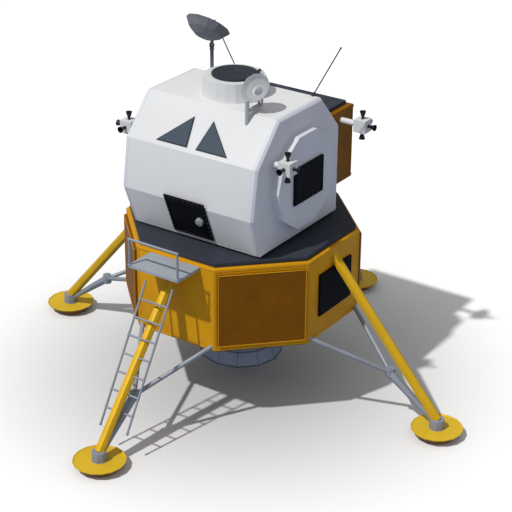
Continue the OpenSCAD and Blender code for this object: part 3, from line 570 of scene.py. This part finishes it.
class LANDER_OT_landing_gear(Operator):
    """Main struts, side struts, lower links and many-sided footpads"""
    bl_idname = "lander.landing_gear"
    bl_label = "Landing gear"
    bl_options = UNDO

    def execute(self, context):
        s = context.scene.lander_sizes
        for leg in LEGS:
            self.strut(leg)
            self.pad(s, leg)
        bevelled("side_struts", "bare_metal")
        bevelled("lower_links", "bare_metal")
        self.fittings()
        return {"FINISHED"}

    def strut(self, leg):
        """Six-sided strut let into the body; the front one ends under the porch."""
        line = (STRUT_FOOT - STRUT_HEAD).normalized()
        turn = Matrix.Rotation(math.radians(LEGS[leg]), 4, "Z")
        bm = bmesh.new()
        rod(bm, turn @ (STRUT_HEAD - line * 0.15), turn @ STRUT_FOOT, STRUT_RADIUS, sides=6,
            turn=math.radians(0 if leg in ("right", "left") else 30))
        if leg == "front":
            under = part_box("porch")[0].z + 0.010
            bmesh.ops.bisect_plane(bm, geom=bm.verts[:] + bm.edges[:] + bm.faces[:], dist=1e-5,
                                   plane_co=(0, 0, under), plane_no=(0, 0, 1), clear_outer=True)
            bmesh.ops.holes_fill(bm, edges=[e for e in bm.edges if e.is_boundary], sides=0)
        soften(bm, 0.006, 25.0)
        bar = piece("strut_" + leg, bm, "strut_foil")
        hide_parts("main_strut_" + leg)
        # tapered boot over the upper part of the lower link
        foot, knuckle = turn @ LINK_FOOT, turn @ KNUCKLE
        bm = bmesh.new()
        rod(bm, knuckle, knuckle.lerp(foot, BOOT_SHARE), *BOOT, sides=6, turn=math.radians(30))
        soften(bm, 0.005, 25.0)
        piece("link_boot_" + leg, bm, "bare_metal")

    def pad(self, s, leg):
        node = "footpad_" + leg
        low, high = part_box(node)
        centre = Vector(((low.x + high.x) / 2, (low.y + high.y) / 2, 0.0))
        place = Matrix.Translation(centre)
        bm = bmesh.new()
        bmesh.ops.create_circle(bm, cap_ends=True, radius=SOLE_RADIUS, segments=s.pad_sides)
        rim, under = raised(bm, bm.faces[:], (0, 0, PAD_TOP - PAD_EDGE))
        grow = PAD_RADIUS / SOLE_RADIUS
        bmesh.ops.scale(bm, vec=(grow, grow, 1.0), verts=rim)
        top = raised(bm, under, (0, 0, PAD_EDGE))[1]
        bmesh.ops.delete(bm, geom=under, context="FACES_ONLY")
        bmesh.ops.inset_region(bm, faces=top, thickness=0.020, depth=0.0, use_even_offset=True)
        bmesh.ops.inset_region(bm, faces=top, thickness=0.010, depth=-s.pad_lip,
                               use_even_offset=True)
        moved(bm, place)
        plate = piece("footpad_plate_" + leg, bm, "pad_foil")
        bm = bmesh.new()
        floor_z = PAD_TOP - s.pad_lip - 0.004
        rod(bm, (0, 0, floor_z), (0, 0, COLLAR_TOP), COLLAR_RADIUS, sides=8, turn=math.pi / 8)
        soften(bm, 0.006, 30.0)
        rod(bm, (0, 0, floor_z), (0, 0, PAD_TOP + 0.004), COLLAR_RADIUS + 0.012, sides=8,
            turn=math.pi / 8)
        moved(bm, place)
        piece("footpad_collar_" + leg, bm, "collar_metal")
        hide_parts(node)

    def fittings(self):
        """Foot sockets where the struts meet the body, and pins through the knuckles."""
        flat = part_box("descent_body")[1].x
        bm = bmesh.new()
        for a in LEGS.values():
            turn = Matrix.Rotation(math.radians(a), 3, "Z")
            for side in (-1, 1):
                foot = Vector((flat, side * SIDE_STRUT_FOOT[0], SIDE_STRUT_FOOT[1]))
                made = block(bm, foot + Vector((-0.002, -0.060, -0.052)),
                             foot + Vector((0.008, 0.060, 0.072)))
                turned(bm, made, turn)
                for dy in (-0.048, 0.048):
                    for dz in (-0.040, 0.060):
                        spot = turn @ (foot + Vector((0, dy, dz)))
                        out = turn @ Vector((1, 0, 0))
                        rod(bm, spot, spot + out * 0.012, 0.007, sides=6)
        soften(bm, 0.002, 40.0, 1)
        piece("strut_fittings", bm, "gold_foil")
        # pins through the knuckles, above and below
        bm = bmesh.new()
        for a in LEGS.values():
            knuckle = Matrix.Rotation(math.radians(a), 3, "Z") @ KNUCKLE
            for z0, z1 in ((0.094, 0.106), (-0.106, -0.094)):
                start = knuckle + Vector((0, 0, z0))
                rod(bm, start, knuckle + Vector((0, 0, z1)), 0.026, 0.024, sides=12)
                rod(bm, start, knuckle + Vector((0, 0, z1 * 0.985)), 0.034, sides=6)
        piece("knuckle_pins", bm, "bare_metal")


# ---------- porch and ladder ----------

LADDER_TOP = Vector((0.0, -2.745, 3.070))
LADDER_LINE = Vector((0.0, -0.5203, -0.8540))
LADDER_LENGTH, LADDER_HALF, LADDER_TUBE, RUNG_STEP = 2.90, 0.325, 0.023, 0.3625


class LANDER_OT_porch(Operator):
    """Porch with tread strips and the ladder's clamps"""
    bl_idname = "lander.porch"
    bl_label = "Porch and ladder"
    bl_options = UNDO

    def execute(self, context):
        bevelled("porch", "porch_metal")
        low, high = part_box("porch")
        bm = bmesh.new()
        for y in evenly(low.y + 0.075, high.y - 0.075, 8):
            block(bm, (low.x + 0.06, y - 0.008, high.z - 0.001),
                  (high.x - 0.06, y + 0.008, high.z + 0.0035))
        soften(bm, 0.0015, 40.0, 1)
        piece("porch_treads", bm, "porch_metal")
        bm = bmesh.new()
        clamp = LADDER_TUBE + 0.004
        for side in (-1, 1):
            x = side * (high.x - 0.025)
            lathe(bm, [(0.024, 0.0), (0.045, 0.0), (0.045, 0.010), (0.030, 0.020),
                       (0.024, 0.020)], 20, Matrix.Translation((x, low.y + 0.025, high.z)))
            for k in range(1, 8):
                at = LADDER_TOP + LADDER_LINE * (RUNG_STEP * k) + Vector((side * LADDER_HALF, 0, 0))
                rod(bm, at - LADDER_LINE * 0.026, at + LADDER_LINE * 0.026, clamp)
            foot = LADDER_TOP + LADDER_LINE * LADDER_LENGTH + Vector((side * LADDER_HALF, 0, 0))
            rod(bm, foot - LADDER_LINE * 0.045, foot + LADDER_LINE * 0.004, clamp)
        piece("tube_clamps", bm, "collar_metal")
        return {"FINISHED"}


# ---------- descent engine ----------

# the bell's height and radius at its creases, and its bands' sections from a crease
BELL = ((1.720, 0.125), (1.4554, 0.32615), (1.1026, 0.57945), (0.7498, 0.7657), (0.460, 0.870))
BELL_SIDES = 12
BAND = ((-0.004, -0.014), (0.010, -0.010), (0.006, 0.012), (-0.012, 0.012))
MOUTH_BAND = ((-0.020, 0.001), (0.004, 0.001), (0.006, 0.022), (-0.018, 0.024))


class LANDER_OT_engine(Operator):
    """Bands and stiffeners on the big engine bell"""
    bl_idname = "lander.engine"
    bl_label = "Descent engine"
    bl_options = UNDO

    def execute(self, context):
        bm = bmesh.new()
        for (z, r), profile in zip(BELL[1:], [BAND] * 3 + [MOUTH_BAND]):
            lathe(bm, [(r + dr, z + dz) for dr, dz in profile], BELL_SIDES)
        piece("bell_bands", bm, "dark_metal", "engine_bell")
        bm = bmesh.new()
        for k in range(BELL_SIDES):
            a = 360 / BELL_SIDES * k
            for (z0, r0), (z1, r1) in zip(BELL[:-1], BELL[1:]):
                rod(bm, polar(r0 + 0.002, a, z0), polar(r1 + 0.002, a, z1), 0.005, sides=6)
        piece("bell_stringers", bm, "dark_metal", "engine_bell")
        return {"FINISHED"}


# ---------- cabin ----------

OUTLINE = [(-1.011, 6.225), (-1.735, 5.448), (-1.887, 4.447), (-1.550, 3.600),
           (1.170, 3.600), (1.170, 5.460), (0.490, 6.225)]
WINDOW_WALL, HATCH_WALL = 0, 2
RIVET_REACH, RIVET_EDGE, HATCH_CLEAR = 1.40, 0.045, 0.56
STUD = (0.009, 0.006)  # foot and head radius of the studs round hatch and side panels


def wall_frame(i):
    """Placement on the wall from outline point i: x across, y out of the cabin, z up the wall."""
    (y0, z0), (y1, z1) = OUTLINE[i], OUTLINE[(i + 1) % len(OUTLINE)]
    up = Vector((0, y0 - y1, z0 - z1)).normalized()
    out = Vector((1, 0, 0)).cross(up).normalized() * -1
    if out.dot(Vector((0, (y0 + y1) / 2 + 0.27, (z0 + z1) / 2 - 4.9))) < 0:
        out = -out
    rows = Matrix((Vector((1, 0, 0)), out, up)).transposed().to_4x4()
    return Matrix.Translation((0, y0, z0)) @ rows


class LANDER_OT_cabin(Operator):
    """Faceted cabin with soft edges, bulges, seams and rivets"""
    bl_idname = "lander.cabin"
    bl_label = "Cabin"
    bl_options = UNDO

    def execute(self, context):
        s = context.scene.lander_sizes
        # the roof gets the lighter painted-highlight copy of the cabin white
        for part, paint in (("front", "cabin_paint"), ("roof", "roof_paint"), ("rear", "end_paint"),
                            ("side_left", "end_paint"), ("side_right", "end_paint")):
            bevelled("cabin_" + part, paint, angle=12.0)
        bevelled("bulge_panels", "black_panel")
        bevelled("interstage_fittings", "bare_metal")
        self.rivets(s)
        self.side_panels()
        return {"FINISHED"}

    def rivets(self, s):
        """Rivet rows along the folds of the shell."""
        bm = bmesh.new()
        count = int(2 * RIVET_REACH / s.rivet_step) + 1
        for i in (0, 1, 2, 4, 5, 6):
            place = wall_frame(i)
            (y0, z0), (y1, z1) = OUTLINE[i], OUTLINE[(i + 1) % len(OUTLINE)]
            reach = math.hypot(y1 - y0, z1 - z0)
            for row in (-RIVET_EDGE, -reach + RIVET_EDGE):
                for x in evenly(-RIVET_REACH, RIVET_REACH, count):
                    if i != HATCH_WALL or abs(x) >= HATCH_CLEAR:
                        rod(bm, place @ Vector((x, -0.001, row)), place @ Vector((x, 0.0045, row)),
                            s.rivet, s.rivet * 0.6, sides=6)
        piece("shell_rivets", bm, "cabin_paint")

    def side_panels(self):
        """Ridges and studs on the black panels of the bulges."""
        low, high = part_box("bulge_panels")
        inset, wide = 0.030, 0.035
        centre = inset + wide / 2
        bm, studs = bmesh.new(), bmesh.new()
        for side in (-1, 1):
            x0, x1 = sorted((side * (high.x - SINK), side * (high.x + 0.006)))
            for y0, y1, z0, z1 in border(low.y + inset, high.y - inset,
                                         low.z + inset, high.z - inset, wide):
                block(bm, (x0, y0, z0), (x1, y1, z1))
            for y in evenly(low.y + centre, high.y - centre, 6):
                for z in (low.z + centre, high.z - centre):
                    rod(studs, (side * (high.x + 0.004), y, z), (side * (high.x + 0.010), y, z),
                        *STUD, sides=8)
        soften(bm, 0.003, 40.0, 1)
        piece("side_panel_ridges", bm, "black_panel")
        piece("side_panel_studs", studs, "dark_metal")


def grown(corners, by):
    """A triangle's corners moved out so that each side moves by the given distance."""
    a, b, c = corners
    sides = ((b - c).length, (c - a).length, (a - b).length)
    centre = (a * sides[0] + b * sides[1] + c * sides[2]) / sum(sides)
    inside = (b - a).cross(c - a).length / sum(sides)
    return [centre + (p - centre) * ((inside + by) / inside) for p in corners]


PANE = ((0.122, -0.954), (0.794, -0.954), (0.233, -0.366))  # corners on the wall
PANE_LIFT, PANE_THICK = 0.006, 0.026


class LANDER_OT_windows(Operator):
    """Triangular windows with gaskets and slim frames"""
    bl_idname = "lander.windows"
    bl_label = "Windows"
    bl_options = UNDO

    def execute(self, context):
        place = wall_frame(WINDOW_WALL)
        out = place.to_3x3() @ Vector((0, 1, 0))
        bm, panes = bmesh.new(), bmesh.new()
        for side in (1, -1):
            corners = [place @ Vector((side * x, 0.0, z)) for x, z in PANE]
            face = panes.faces.new([panes.verts.new(p + out * PANE_LIFT) for p in corners])
            raised(panes, [face], out * PANE_THICK)
            face = bm.faces.new([bm.verts.new(p - out * 0.001) for p in grown(corners, 0.016)])
            face.normal_update()
            known = set(bm.faces)
            bmesh.ops.inset_region(bm, faces=[face], thickness=0.018, depth=0.0,
                                   use_boundary=True, use_even_offset=True)
            ring = [part for part in bm.faces if part not in known]
            bmesh.ops.delete(bm, geom=[face], context="FACES_ONLY")
            raised(bm, ring, out * 0.021)
        soften(panes, 0.005, 25.0, 2)
        bmesh.ops.recalc_face_normals(panes, faces=panes.faces)
        pane = piece("window_panes", panes, "window_glass")
        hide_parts("windows")
        piece("window_gaskets", bm, "gasket")
        return {"FINISHED"}


STUD_X, STUD_TOP, STUD_FOOT, HANDLE = 0.45, 0.108, -0.780, (0.29, -0.32)


class LANDER_OT_hatch(Operator):
    """Square front hatch in its dark frame, with ribs, studs and handle"""
    bl_idname = "lander.hatch"
    bl_label = "Front hatch"
    bl_options = UNDO

    def execute(self, context):
        bevelled("hatch_frame", "black_panel")
        bevelled("front_hatch", "black_panel")
        bevelled("hatch_handle", "handle_metal")
        place = wall_frame(HATCH_WALL)
        bm = bmesh.new()
        for x0, x1, z0, z1 in border(-0.38, 0.38, -0.710, -0.075, 0.025):
            block(bm, (x0, 0.022, z0), (x1, 0.029, z1))
        soften(bm, 0.003, 40.0, 1)
        moved(bm, place)
        piece("hatch_ribs", bm, "black_panel", "front_hatch")
        bm = bmesh.new()
        spots = [(x, z) for x in evenly(-STUD_X, STUD_X, 9) for z in (STUD_TOP, STUD_FOOT)]
        spots += [(x, z) for z in evenly(STUD_TOP, STUD_FOOT, 9)[1:-1] for x in (-STUD_X, STUD_X)]
        for x, z in spots:
            rod(bm, (x, 0.032, z), (x, 0.039, z), *STUD, sides=8)
        moved(bm, place)
        piece("hatch_frame_studs", bm, "dark_metal")
        bm = bmesh.new()
        x, z = HANDLE
        rod(bm, (x, 0.099, z), (x, 0.108, z), 0.050, 0.038, sides=8)
        moved(bm, place)
        piece("hatch_handle_cap", bm, "handle_metal", "front_hatch")
        return {"FINISHED"}


TUNNEL_AXIS, COLLAR_HEIGHT, LID_RISE = Vector((0.0, -0.24, 0.0)), 0.375, 0.039


class LANDER_OT_tunnel(Operator):
    """Many-sided docking tunnel with its lid"""
    bl_idname = "lander.tunnel"
    bl_label = "Docking tunnel"
    bl_options = UNDO

    def execute(self, context):
        s = context.scene.lander_sizes
        bevelled("tunnel_collar", "cabin_paint")
        bevelled("docking_lid", "lid_dark")
        roof = OUTLINE[0][1]
        rim = COLLAR_HEIGHT + 0.0006
        place = Matrix.Translation(TUNNEL_AXIS)
        bm = bmesh.new()
        lathe(bm, [(0.640, roof - 0.001), (0.662, roof - 0.001), (0.662, roof + 0.008),
                   (0.640, roof + 0.010)], s.collar_sides, place)
        piece("tunnel_flange", bm, "cabin_paint")
        bm = bmesh.new()
        lathe(bm, [(0.650, roof - 0.001), (0.6055, roof + rim), (0.5955, roof + rim),
                   (0.640, roof - 0.001)], s.collar_sides, place)
        piece("tunnel_facets", bm, "cabin_paint", flat=8.0)
        bm = bmesh.new()
        top = roof + COLLAR_HEIGHT + LID_RISE
        for r in (0.20, 0.405):
            lathe(bm, [(r - 0.012, top - 0.001), (r - 0.008, top + 0.005), (r + 0.008, top + 0.005),
                       (r + 0.012, top - 0.001)], 48, place)
        for k in range(12):
            a = 30 * k + 15
            rod(bm, place @ polar(0.305, a, top - 0.001), place @ polar(0.305, a, top + 0.008),
                0.013, 0.010, sides=6)
        rod(bm, place @ Vector((0, 0, top - 0.001)), place @ Vector((0, 0, top + 0.012)), 0.06, 0.05)
        piece("lid_ridges", bm, "lid_dark", "docking_lid")
        return {"FINISHED"}


class LANDER_OT_aft_bay(Operator):
    """Aft equipment bay in bronze foil with its dark cover"""
    bl_idname = "lander.aft_bay"
    bl_label = "Aft bay"
    bl_options = UNDO

    def execute(self, context):
        s = context.scene.lander_sizes
        bevelled("aft_bay", "bay_foil", s.edge)
        bevelled("bay_cover", "deck_sheet")
        low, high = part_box("aft_bay")
        bm = bmesh.new()
        edge, lift, half = 0.045, 0.006, 0.018  # strap's distance from an edge, height, half width
        z0, z1 = low.z + 0.067, high.z - 0.067
        for z in (low.z + edge, high.z - edge):
            block(bm, (low.x - lift, low.y + 0.35, z - 0.022),
                  (high.x + lift, high.y + lift, z + 0.022))
        for x in (low.x + edge, -0.45, 0.45, high.x - edge):
            block(bm, (x - half, high.y - 0.002, z0), (x + half, high.y + lift, z1))
        for x in (low.x, high.x):
            for y in (high.y - edge, 1.30):
                block(bm, (x - lift, y - half, z0), (x + lift, y + half, z1))
        soften(bm, 0.003, 40.0, 1)
        piece("bay_straps", bm, "bay_foil")
        low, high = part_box("bay_cover")
        bm = bmesh.new()
        for x in evenly(low.x + 0.25, high.x - 0.25, 5):
            block(bm, (x - 0.012, low.y + 0.04, high.z - 0.001),
                  (x + 0.012, high.y - 0.04, high.z + 0.005))
        piece("bay_cover_ribs", bm, "deck_sheet")
        return {"FINISHED"}


class LANDER_OT_thrusters(Operator):
    """Thruster blocks with hollow nozzles"""
    bl_idname = "lander.thrusters"
    bl_label = "Thrusters"
    bl_options = UNDO

    def execute(self, context):
        s = context.scene.lander_sizes
        bevelled("thruster_blocks", "cabin_paint", 0.006)
        half, reach, root, mouth = 0.1325, 0.160, 0.026, 0.067
        throat, waist, t = root * 1.25, root * 1.9, s.nozzle_wall
        bell = [(0.0, -0.002), (root, -0.002), (root * 0.85, 0.022), (throat, 0.055), (waist, 0.108),
                (mouth - 0.002, reach), (mouth - t, reach), (waist - t, 0.108), (throat - t, 0.055),
                (0.0, 0.030)]
        flange = [(0.020, -0.001), (0.040, -0.001), (0.040, 0.007), (0.020, 0.007)]
        bm, flanges = bmesh.new(), bmesh.new()
        for side, y, fore in ((1, -1.197, -1), (-1, -1.197, -1), (1, 1.506, 1), (-1, 1.506, 1)):
            centre = Vector((side * 1.875, y, 5.42))
            for way in ((0, 0, 1), (0, 0, -1), (0, fore, 0), (side, 0, 0)):
                turn = Vector(way).to_track_quat("Z", "Y").to_matrix().to_4x4()
                place = Matrix.Translation(centre) @ turn @ Matrix.Translation((0, 0, half))
                lathe(bm, bell, 20, place, closed=False)
                lathe(flanges, flange, 16, place)
        nozzles = piece("thruster_bells", bm, "nozzle_black", flat=25.0)
        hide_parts("thruster_nozzles")
        piece("thruster_flanges", flanges, "dark_metal")
        return {"FINISHED"}


# ---------- antennas ----------

def dish_details(name, body, place, r, depth, metal, legs, reach):
    """Rolled rim, and a feed on slim legs, for a dish that opens along the placement's Z."""
    bm = bmesh.new()
    lathe(bm, [(r - 0.012, depth - 0.006), (r - 0.002, depth - 0.010), (r + 0.003, depth - 0.002),
               (r - 0.002, depth + 0.004), (r - 0.012, depth + 0.003)], 12, place)
    piece(name + "_rim", bm, metal, body)
    bm = bmesh.new()
    tip = place @ Vector((0, 0, reach))
    for k in range(legs):
        rod(bm, place @ polar(r * 0.80, 360 / legs * k + 15, depth * 0.66), tip, 0.006, sides=8)
    axis = (place.to_3x3() @ Vector((0, 0, 1))).normalized()
    rod(bm, tip - axis * 0.030, tip + axis * 0.022, 0.026, 0.034, sides=12)
    piece(name + "_feed", bm, metal, body)


DISH_BACK, DISH_UP, DISH_RADIUS, DISH_DEPTH = Vector((-0.97, 0.38, 6.944)), 49, 0.465, 0.290
RADAR_PIVOT, RADAR_SEAT, RADAR_UP = Vector((0.915, -0.702, 6.549)), 0.052, 40
RADAR_RADIUS, RADAR_DEPTH = 0.300, 0.170
WHIPS = ((Vector((1.34, 0.47, 6.225)), Vector((1.95, 0.47, 7.32))),
         (Vector((-0.50, 1.0, 5.651)), Vector((-1.374, 1.0, 7.127))))


class LANDER_OT_antennas(Operator):
    """Rims and feeds of both dishes, and the whip antennas' tips"""
    bl_idname = "lander.antennas"
    bl_label = "Antennas"
    bl_options = UNDO

    def execute(self, context):
        r, d = DISH_RADIUS, DISH_DEPTH
        ball = (r * r + d * d) / (2 * d)
        place = (Matrix.Translation(DISH_BACK + Vector((0, 0, ball)))
                 @ Matrix.Rotation(math.radians(DISH_UP - 90), 4, "X")
                 @ Matrix.Translation((0, 0, -ball)))
        dish_details("dish", "dish_antenna", place, r, d, "dish_dark", 3, 0.30)
        up = math.radians(RADAR_UP)
        axis = Vector((0, -math.cos(up), math.sin(up)))
        place = (Matrix.Translation(RADAR_PIVOT + axis * RADAR_SEAT)
                 @ Matrix.Rotation(math.radians(90 - RADAR_UP), 4, "X"))
        bm = bmesh.new()
        r, d = RADAR_RADIUS, RADAR_DEPTH
        lathe(bm, [(r - 0.006, d - 0.003), (r - 0.001, d - 0.004), (r + 0.001, d - 0.001),
                   (r - 0.001, d + 0.001), (r - 0.006, d + 0.001)], 12, place)
        piece("radar_rim", bm, "dark_metal", "radar_dish")
        bm = bmesh.new()
        foot = place @ Vector((0, 0, 0.022))
        rod(bm, foot, foot + axis * 0.085, 0.105, 0.034, sides=10)
        rod(bm, foot + axis * 0.083, foot + axis * 0.112, 0.022, 0.014, sides=10)
        piece("radar_feed", bm, "handle_metal", "radar_dish")
        bm = bmesh.new()
        for a, b in WHIPS:
            line = (b - a).normalized()
            rod(bm, b - line * 0.035, b, 0.018, 0.016, sides=12)
            rod(bm, a + line * 0.045, a + line * 0.11, 0.026, 0.014, sides=16)
        piece("whip_ends", bm, "whip_black")
        return {"FINISHED"}


# ---------- stage ----------

# painted light falloff: the floor is coloured darker near the lander and paler away from it,
# standing in for light that grows brighter away from the lander
FLOOR_SHADED_MIDDLE, FLOOR_EDGE, FLOOR_BOUNCE = (0.592,) * 3, (0.985,) * 3, (0.285, 0.33, 0.42)
FLOOR_SIZE, FLOOR_DROP, FLOOR_LIGHT_FADE = 220.0, 0.0005, (1.5, 7.2)
SKY, SKY_STRENGTH = (0.95, 0.96, 0.99), 0.42
SUN_WAY, SUN_POWER, SUN_SPREAD = Vector((0.184, 0.536, -0.824)), 2.65, 1.6
CAMERA_PLACE, CAMERA_LENS = (16.663, -24.025, 16.720), 111.2
CAMERA_TURN, CAMERA_DIP, CAMERA_ROLL = 34.15, 25.77, 0.46


class LANDER_OT_stage(Operator):
    """Pale floor with painted light falloff, soft studio light and the camera"""
    bl_idname = "lander.stage"
    bl_label = "Stage"
    bl_options = UNDO

    def execute(self, context):
        scene = context.scene
        scene.view_settings.view_transform = "Standard"
        scene.view_settings.look = "None"
        bm = bmesh.new()
        bmesh.ops.create_circle(bm, cap_ends=True, radius=FLOOR_SIZE, segments=96)
        mesh = bpy.data.meshes.new("floor")
        bm.to_mesh(mesh)
        bm.free()
        floor = bpy.data.objects.new("floor", mesh)
        floor.location.z = -FLOOR_DROP
        scene.collection.objects.link(floor)
        mesh.materials.append(self.floor_finish())
        world = bpy.data.worlds.new("studio")
        scene.world = world
        world.use_nodes = True
        tree = world.node_tree
        sky = tree.nodes["Background"]
        put(sky, {"Color": SKY, "Strength": SKY_STRENGTH})
        plain = tree.nodes.new("ShaderNodeBackground")
        put(plain, {"Color": (1.0, 1.0, 1.0)})
        self.for_camera(tree, sky, plain, "World Output")
        sun = bpy.data.lights.new("key_light", "SUN")
        sun.energy = SUN_POWER
        sun.angle = math.radians(SUN_SPREAD)
        sun.color = (1.0, 0.99, 0.97)
        lamp = bpy.data.objects.new("key_light", sun)
        lamp.rotation_mode = "QUATERNION"
        lamp.rotation_quaternion = SUN_WAY.to_track_quat("-Z", "Y")
        scene.collection.objects.link(lamp)
        lens = bpy.data.cameras.new("camera")
        lens.lens = CAMERA_LENS
        lens.sensor_width = 36.0
        lens.clip_end = 1000.0
        camera = bpy.data.objects.new("camera", lens)
        az, el, roll = (math.radians(a) for a in (CAMERA_TURN, CAMERA_DIP, CAMERA_ROLL))
        back = Vector((math.sin(az) * math.cos(el), -math.cos(az) * math.cos(el), math.sin(el)))
        right = Vector((math.cos(az), math.sin(az), 0.0))
        right = (Matrix.Rotation(roll, 3, back) @ right).normalized()
        turn = Matrix((right, back.cross(right), back)).transposed().to_4x4()
        camera.matrix_world = Matrix.Translation(CAMERA_PLACE) @ turn
        scene.collection.objects.link(camera)
        scene.camera = camera
        return {"FINISHED"}

    def floor_finish(self):
        """Pale floor whose colour brightens gently away from the middle: painted light falloff,
        darker round the lander.
        """
        mat = bpy.data.materials.new("studio_floor")
        mat.use_nodes = True
        tree = mat.node_tree
        shader = tree.nodes["Principled BSDF"]
        place = tree.nodes.new("ShaderNodeTexCoord")
        size = tree.nodes.new("ShaderNodeVectorMath")
        size.operation = "LENGTH"
        tree.links.new(place.outputs["Object"], size.inputs[0])
        near, far = FLOOR_LIGHT_FADE
        ramp = spread(tree, size.outputs["Value"], {"From Min": near, "From Max": far})
        ramp.interpolation_type = "SMOOTHSTEP"
        tree.links.new(blend(tree, ramp.outputs["Result"], FLOOR_SHADED_MIDDLE, FLOOR_EDGE),
                       shader.inputs["Base Color"])
        put(shader, {"Roughness": 1.0, "Specular IOR Level": 0.0})
        # the light that the floor throws back is softer than the floor looks
        dim = tree.nodes.new("ShaderNodeBsdfDiffuse")
        put(dim, {"Color": FLOOR_BOUNCE})
        self.for_camera(tree, dim, shader, "Material Output")
        return mat

    def for_camera(self, tree, light, seen, output):
        """What the camera sees; other rays meet the light instead."""
        path = tree.nodes.new("ShaderNodeLightPath")
        mix = tree.nodes.new("ShaderNodeMixShader")
        tree.links.new(path.outputs["Is Camera Ray"], mix.inputs[0])
        tree.links.new(light.outputs[0], mix.inputs[1])
        tree.links.new(seen.outputs[0], mix.inputs[2])
        tree.links.new(mix.outputs[0], tree.nodes[output].inputs["Surface"])


OPERATORS = (LANDER_OT_finishes, LANDER_OT_lower_body, LANDER_OT_landing_gear, LANDER_OT_porch,
             LANDER_OT_engine, LANDER_OT_cabin, LANDER_OT_windows, LANDER_OT_hatch,
             LANDER_OT_tunnel, LANDER_OT_aft_bay, LANDER_OT_thrusters, LANDER_OT_antennas,
             LANDER_OT_stage)


class LANDER_PT_main(Panel):
    """Lists the lander's pieces in the sidebar"""
    bl_idname = "LANDER_PT_main"
    bl_label = "Lunar module"
    bl_space_type = "VIEW_3D"
    bl_region_type = "UI"
    bl_category = "Lander"

    def draw(self, context):
        layout = self.layout
        for group in (context.scene.lander_sizes, context.scene.lander_colours):
            column = layout.column(align=True)
            for name in group.__annotations__:
                column.prop(group, name)
        for op in OPERATORS:
            layout.operator(op.bl_idname)


CLASSES = (LanderSizes, LanderColours, *OPERATORS, LANDER_PT_main)


def register():
    for cls in CLASSES:
        bpy.utils.register_class(cls)
    bpy.types.Scene.lander_sizes = PointerProperty(type=LanderSizes)
    bpy.types.Scene.lander_colours = PointerProperty(type=LanderColours)


def unregister():
    del bpy.types.Scene.lander_colours
    del bpy.types.Scene.lander_sizes
    for cls in reversed(CLASSES):
        bpy.utils.unregister_class(cls)


def main():
    register()
    for op in OPERATORS:
        area, name = op.bl_idname.split(".")
        getattr(getattr(bpy.ops, area), name)()


if __name__ == "__main__":
    main()
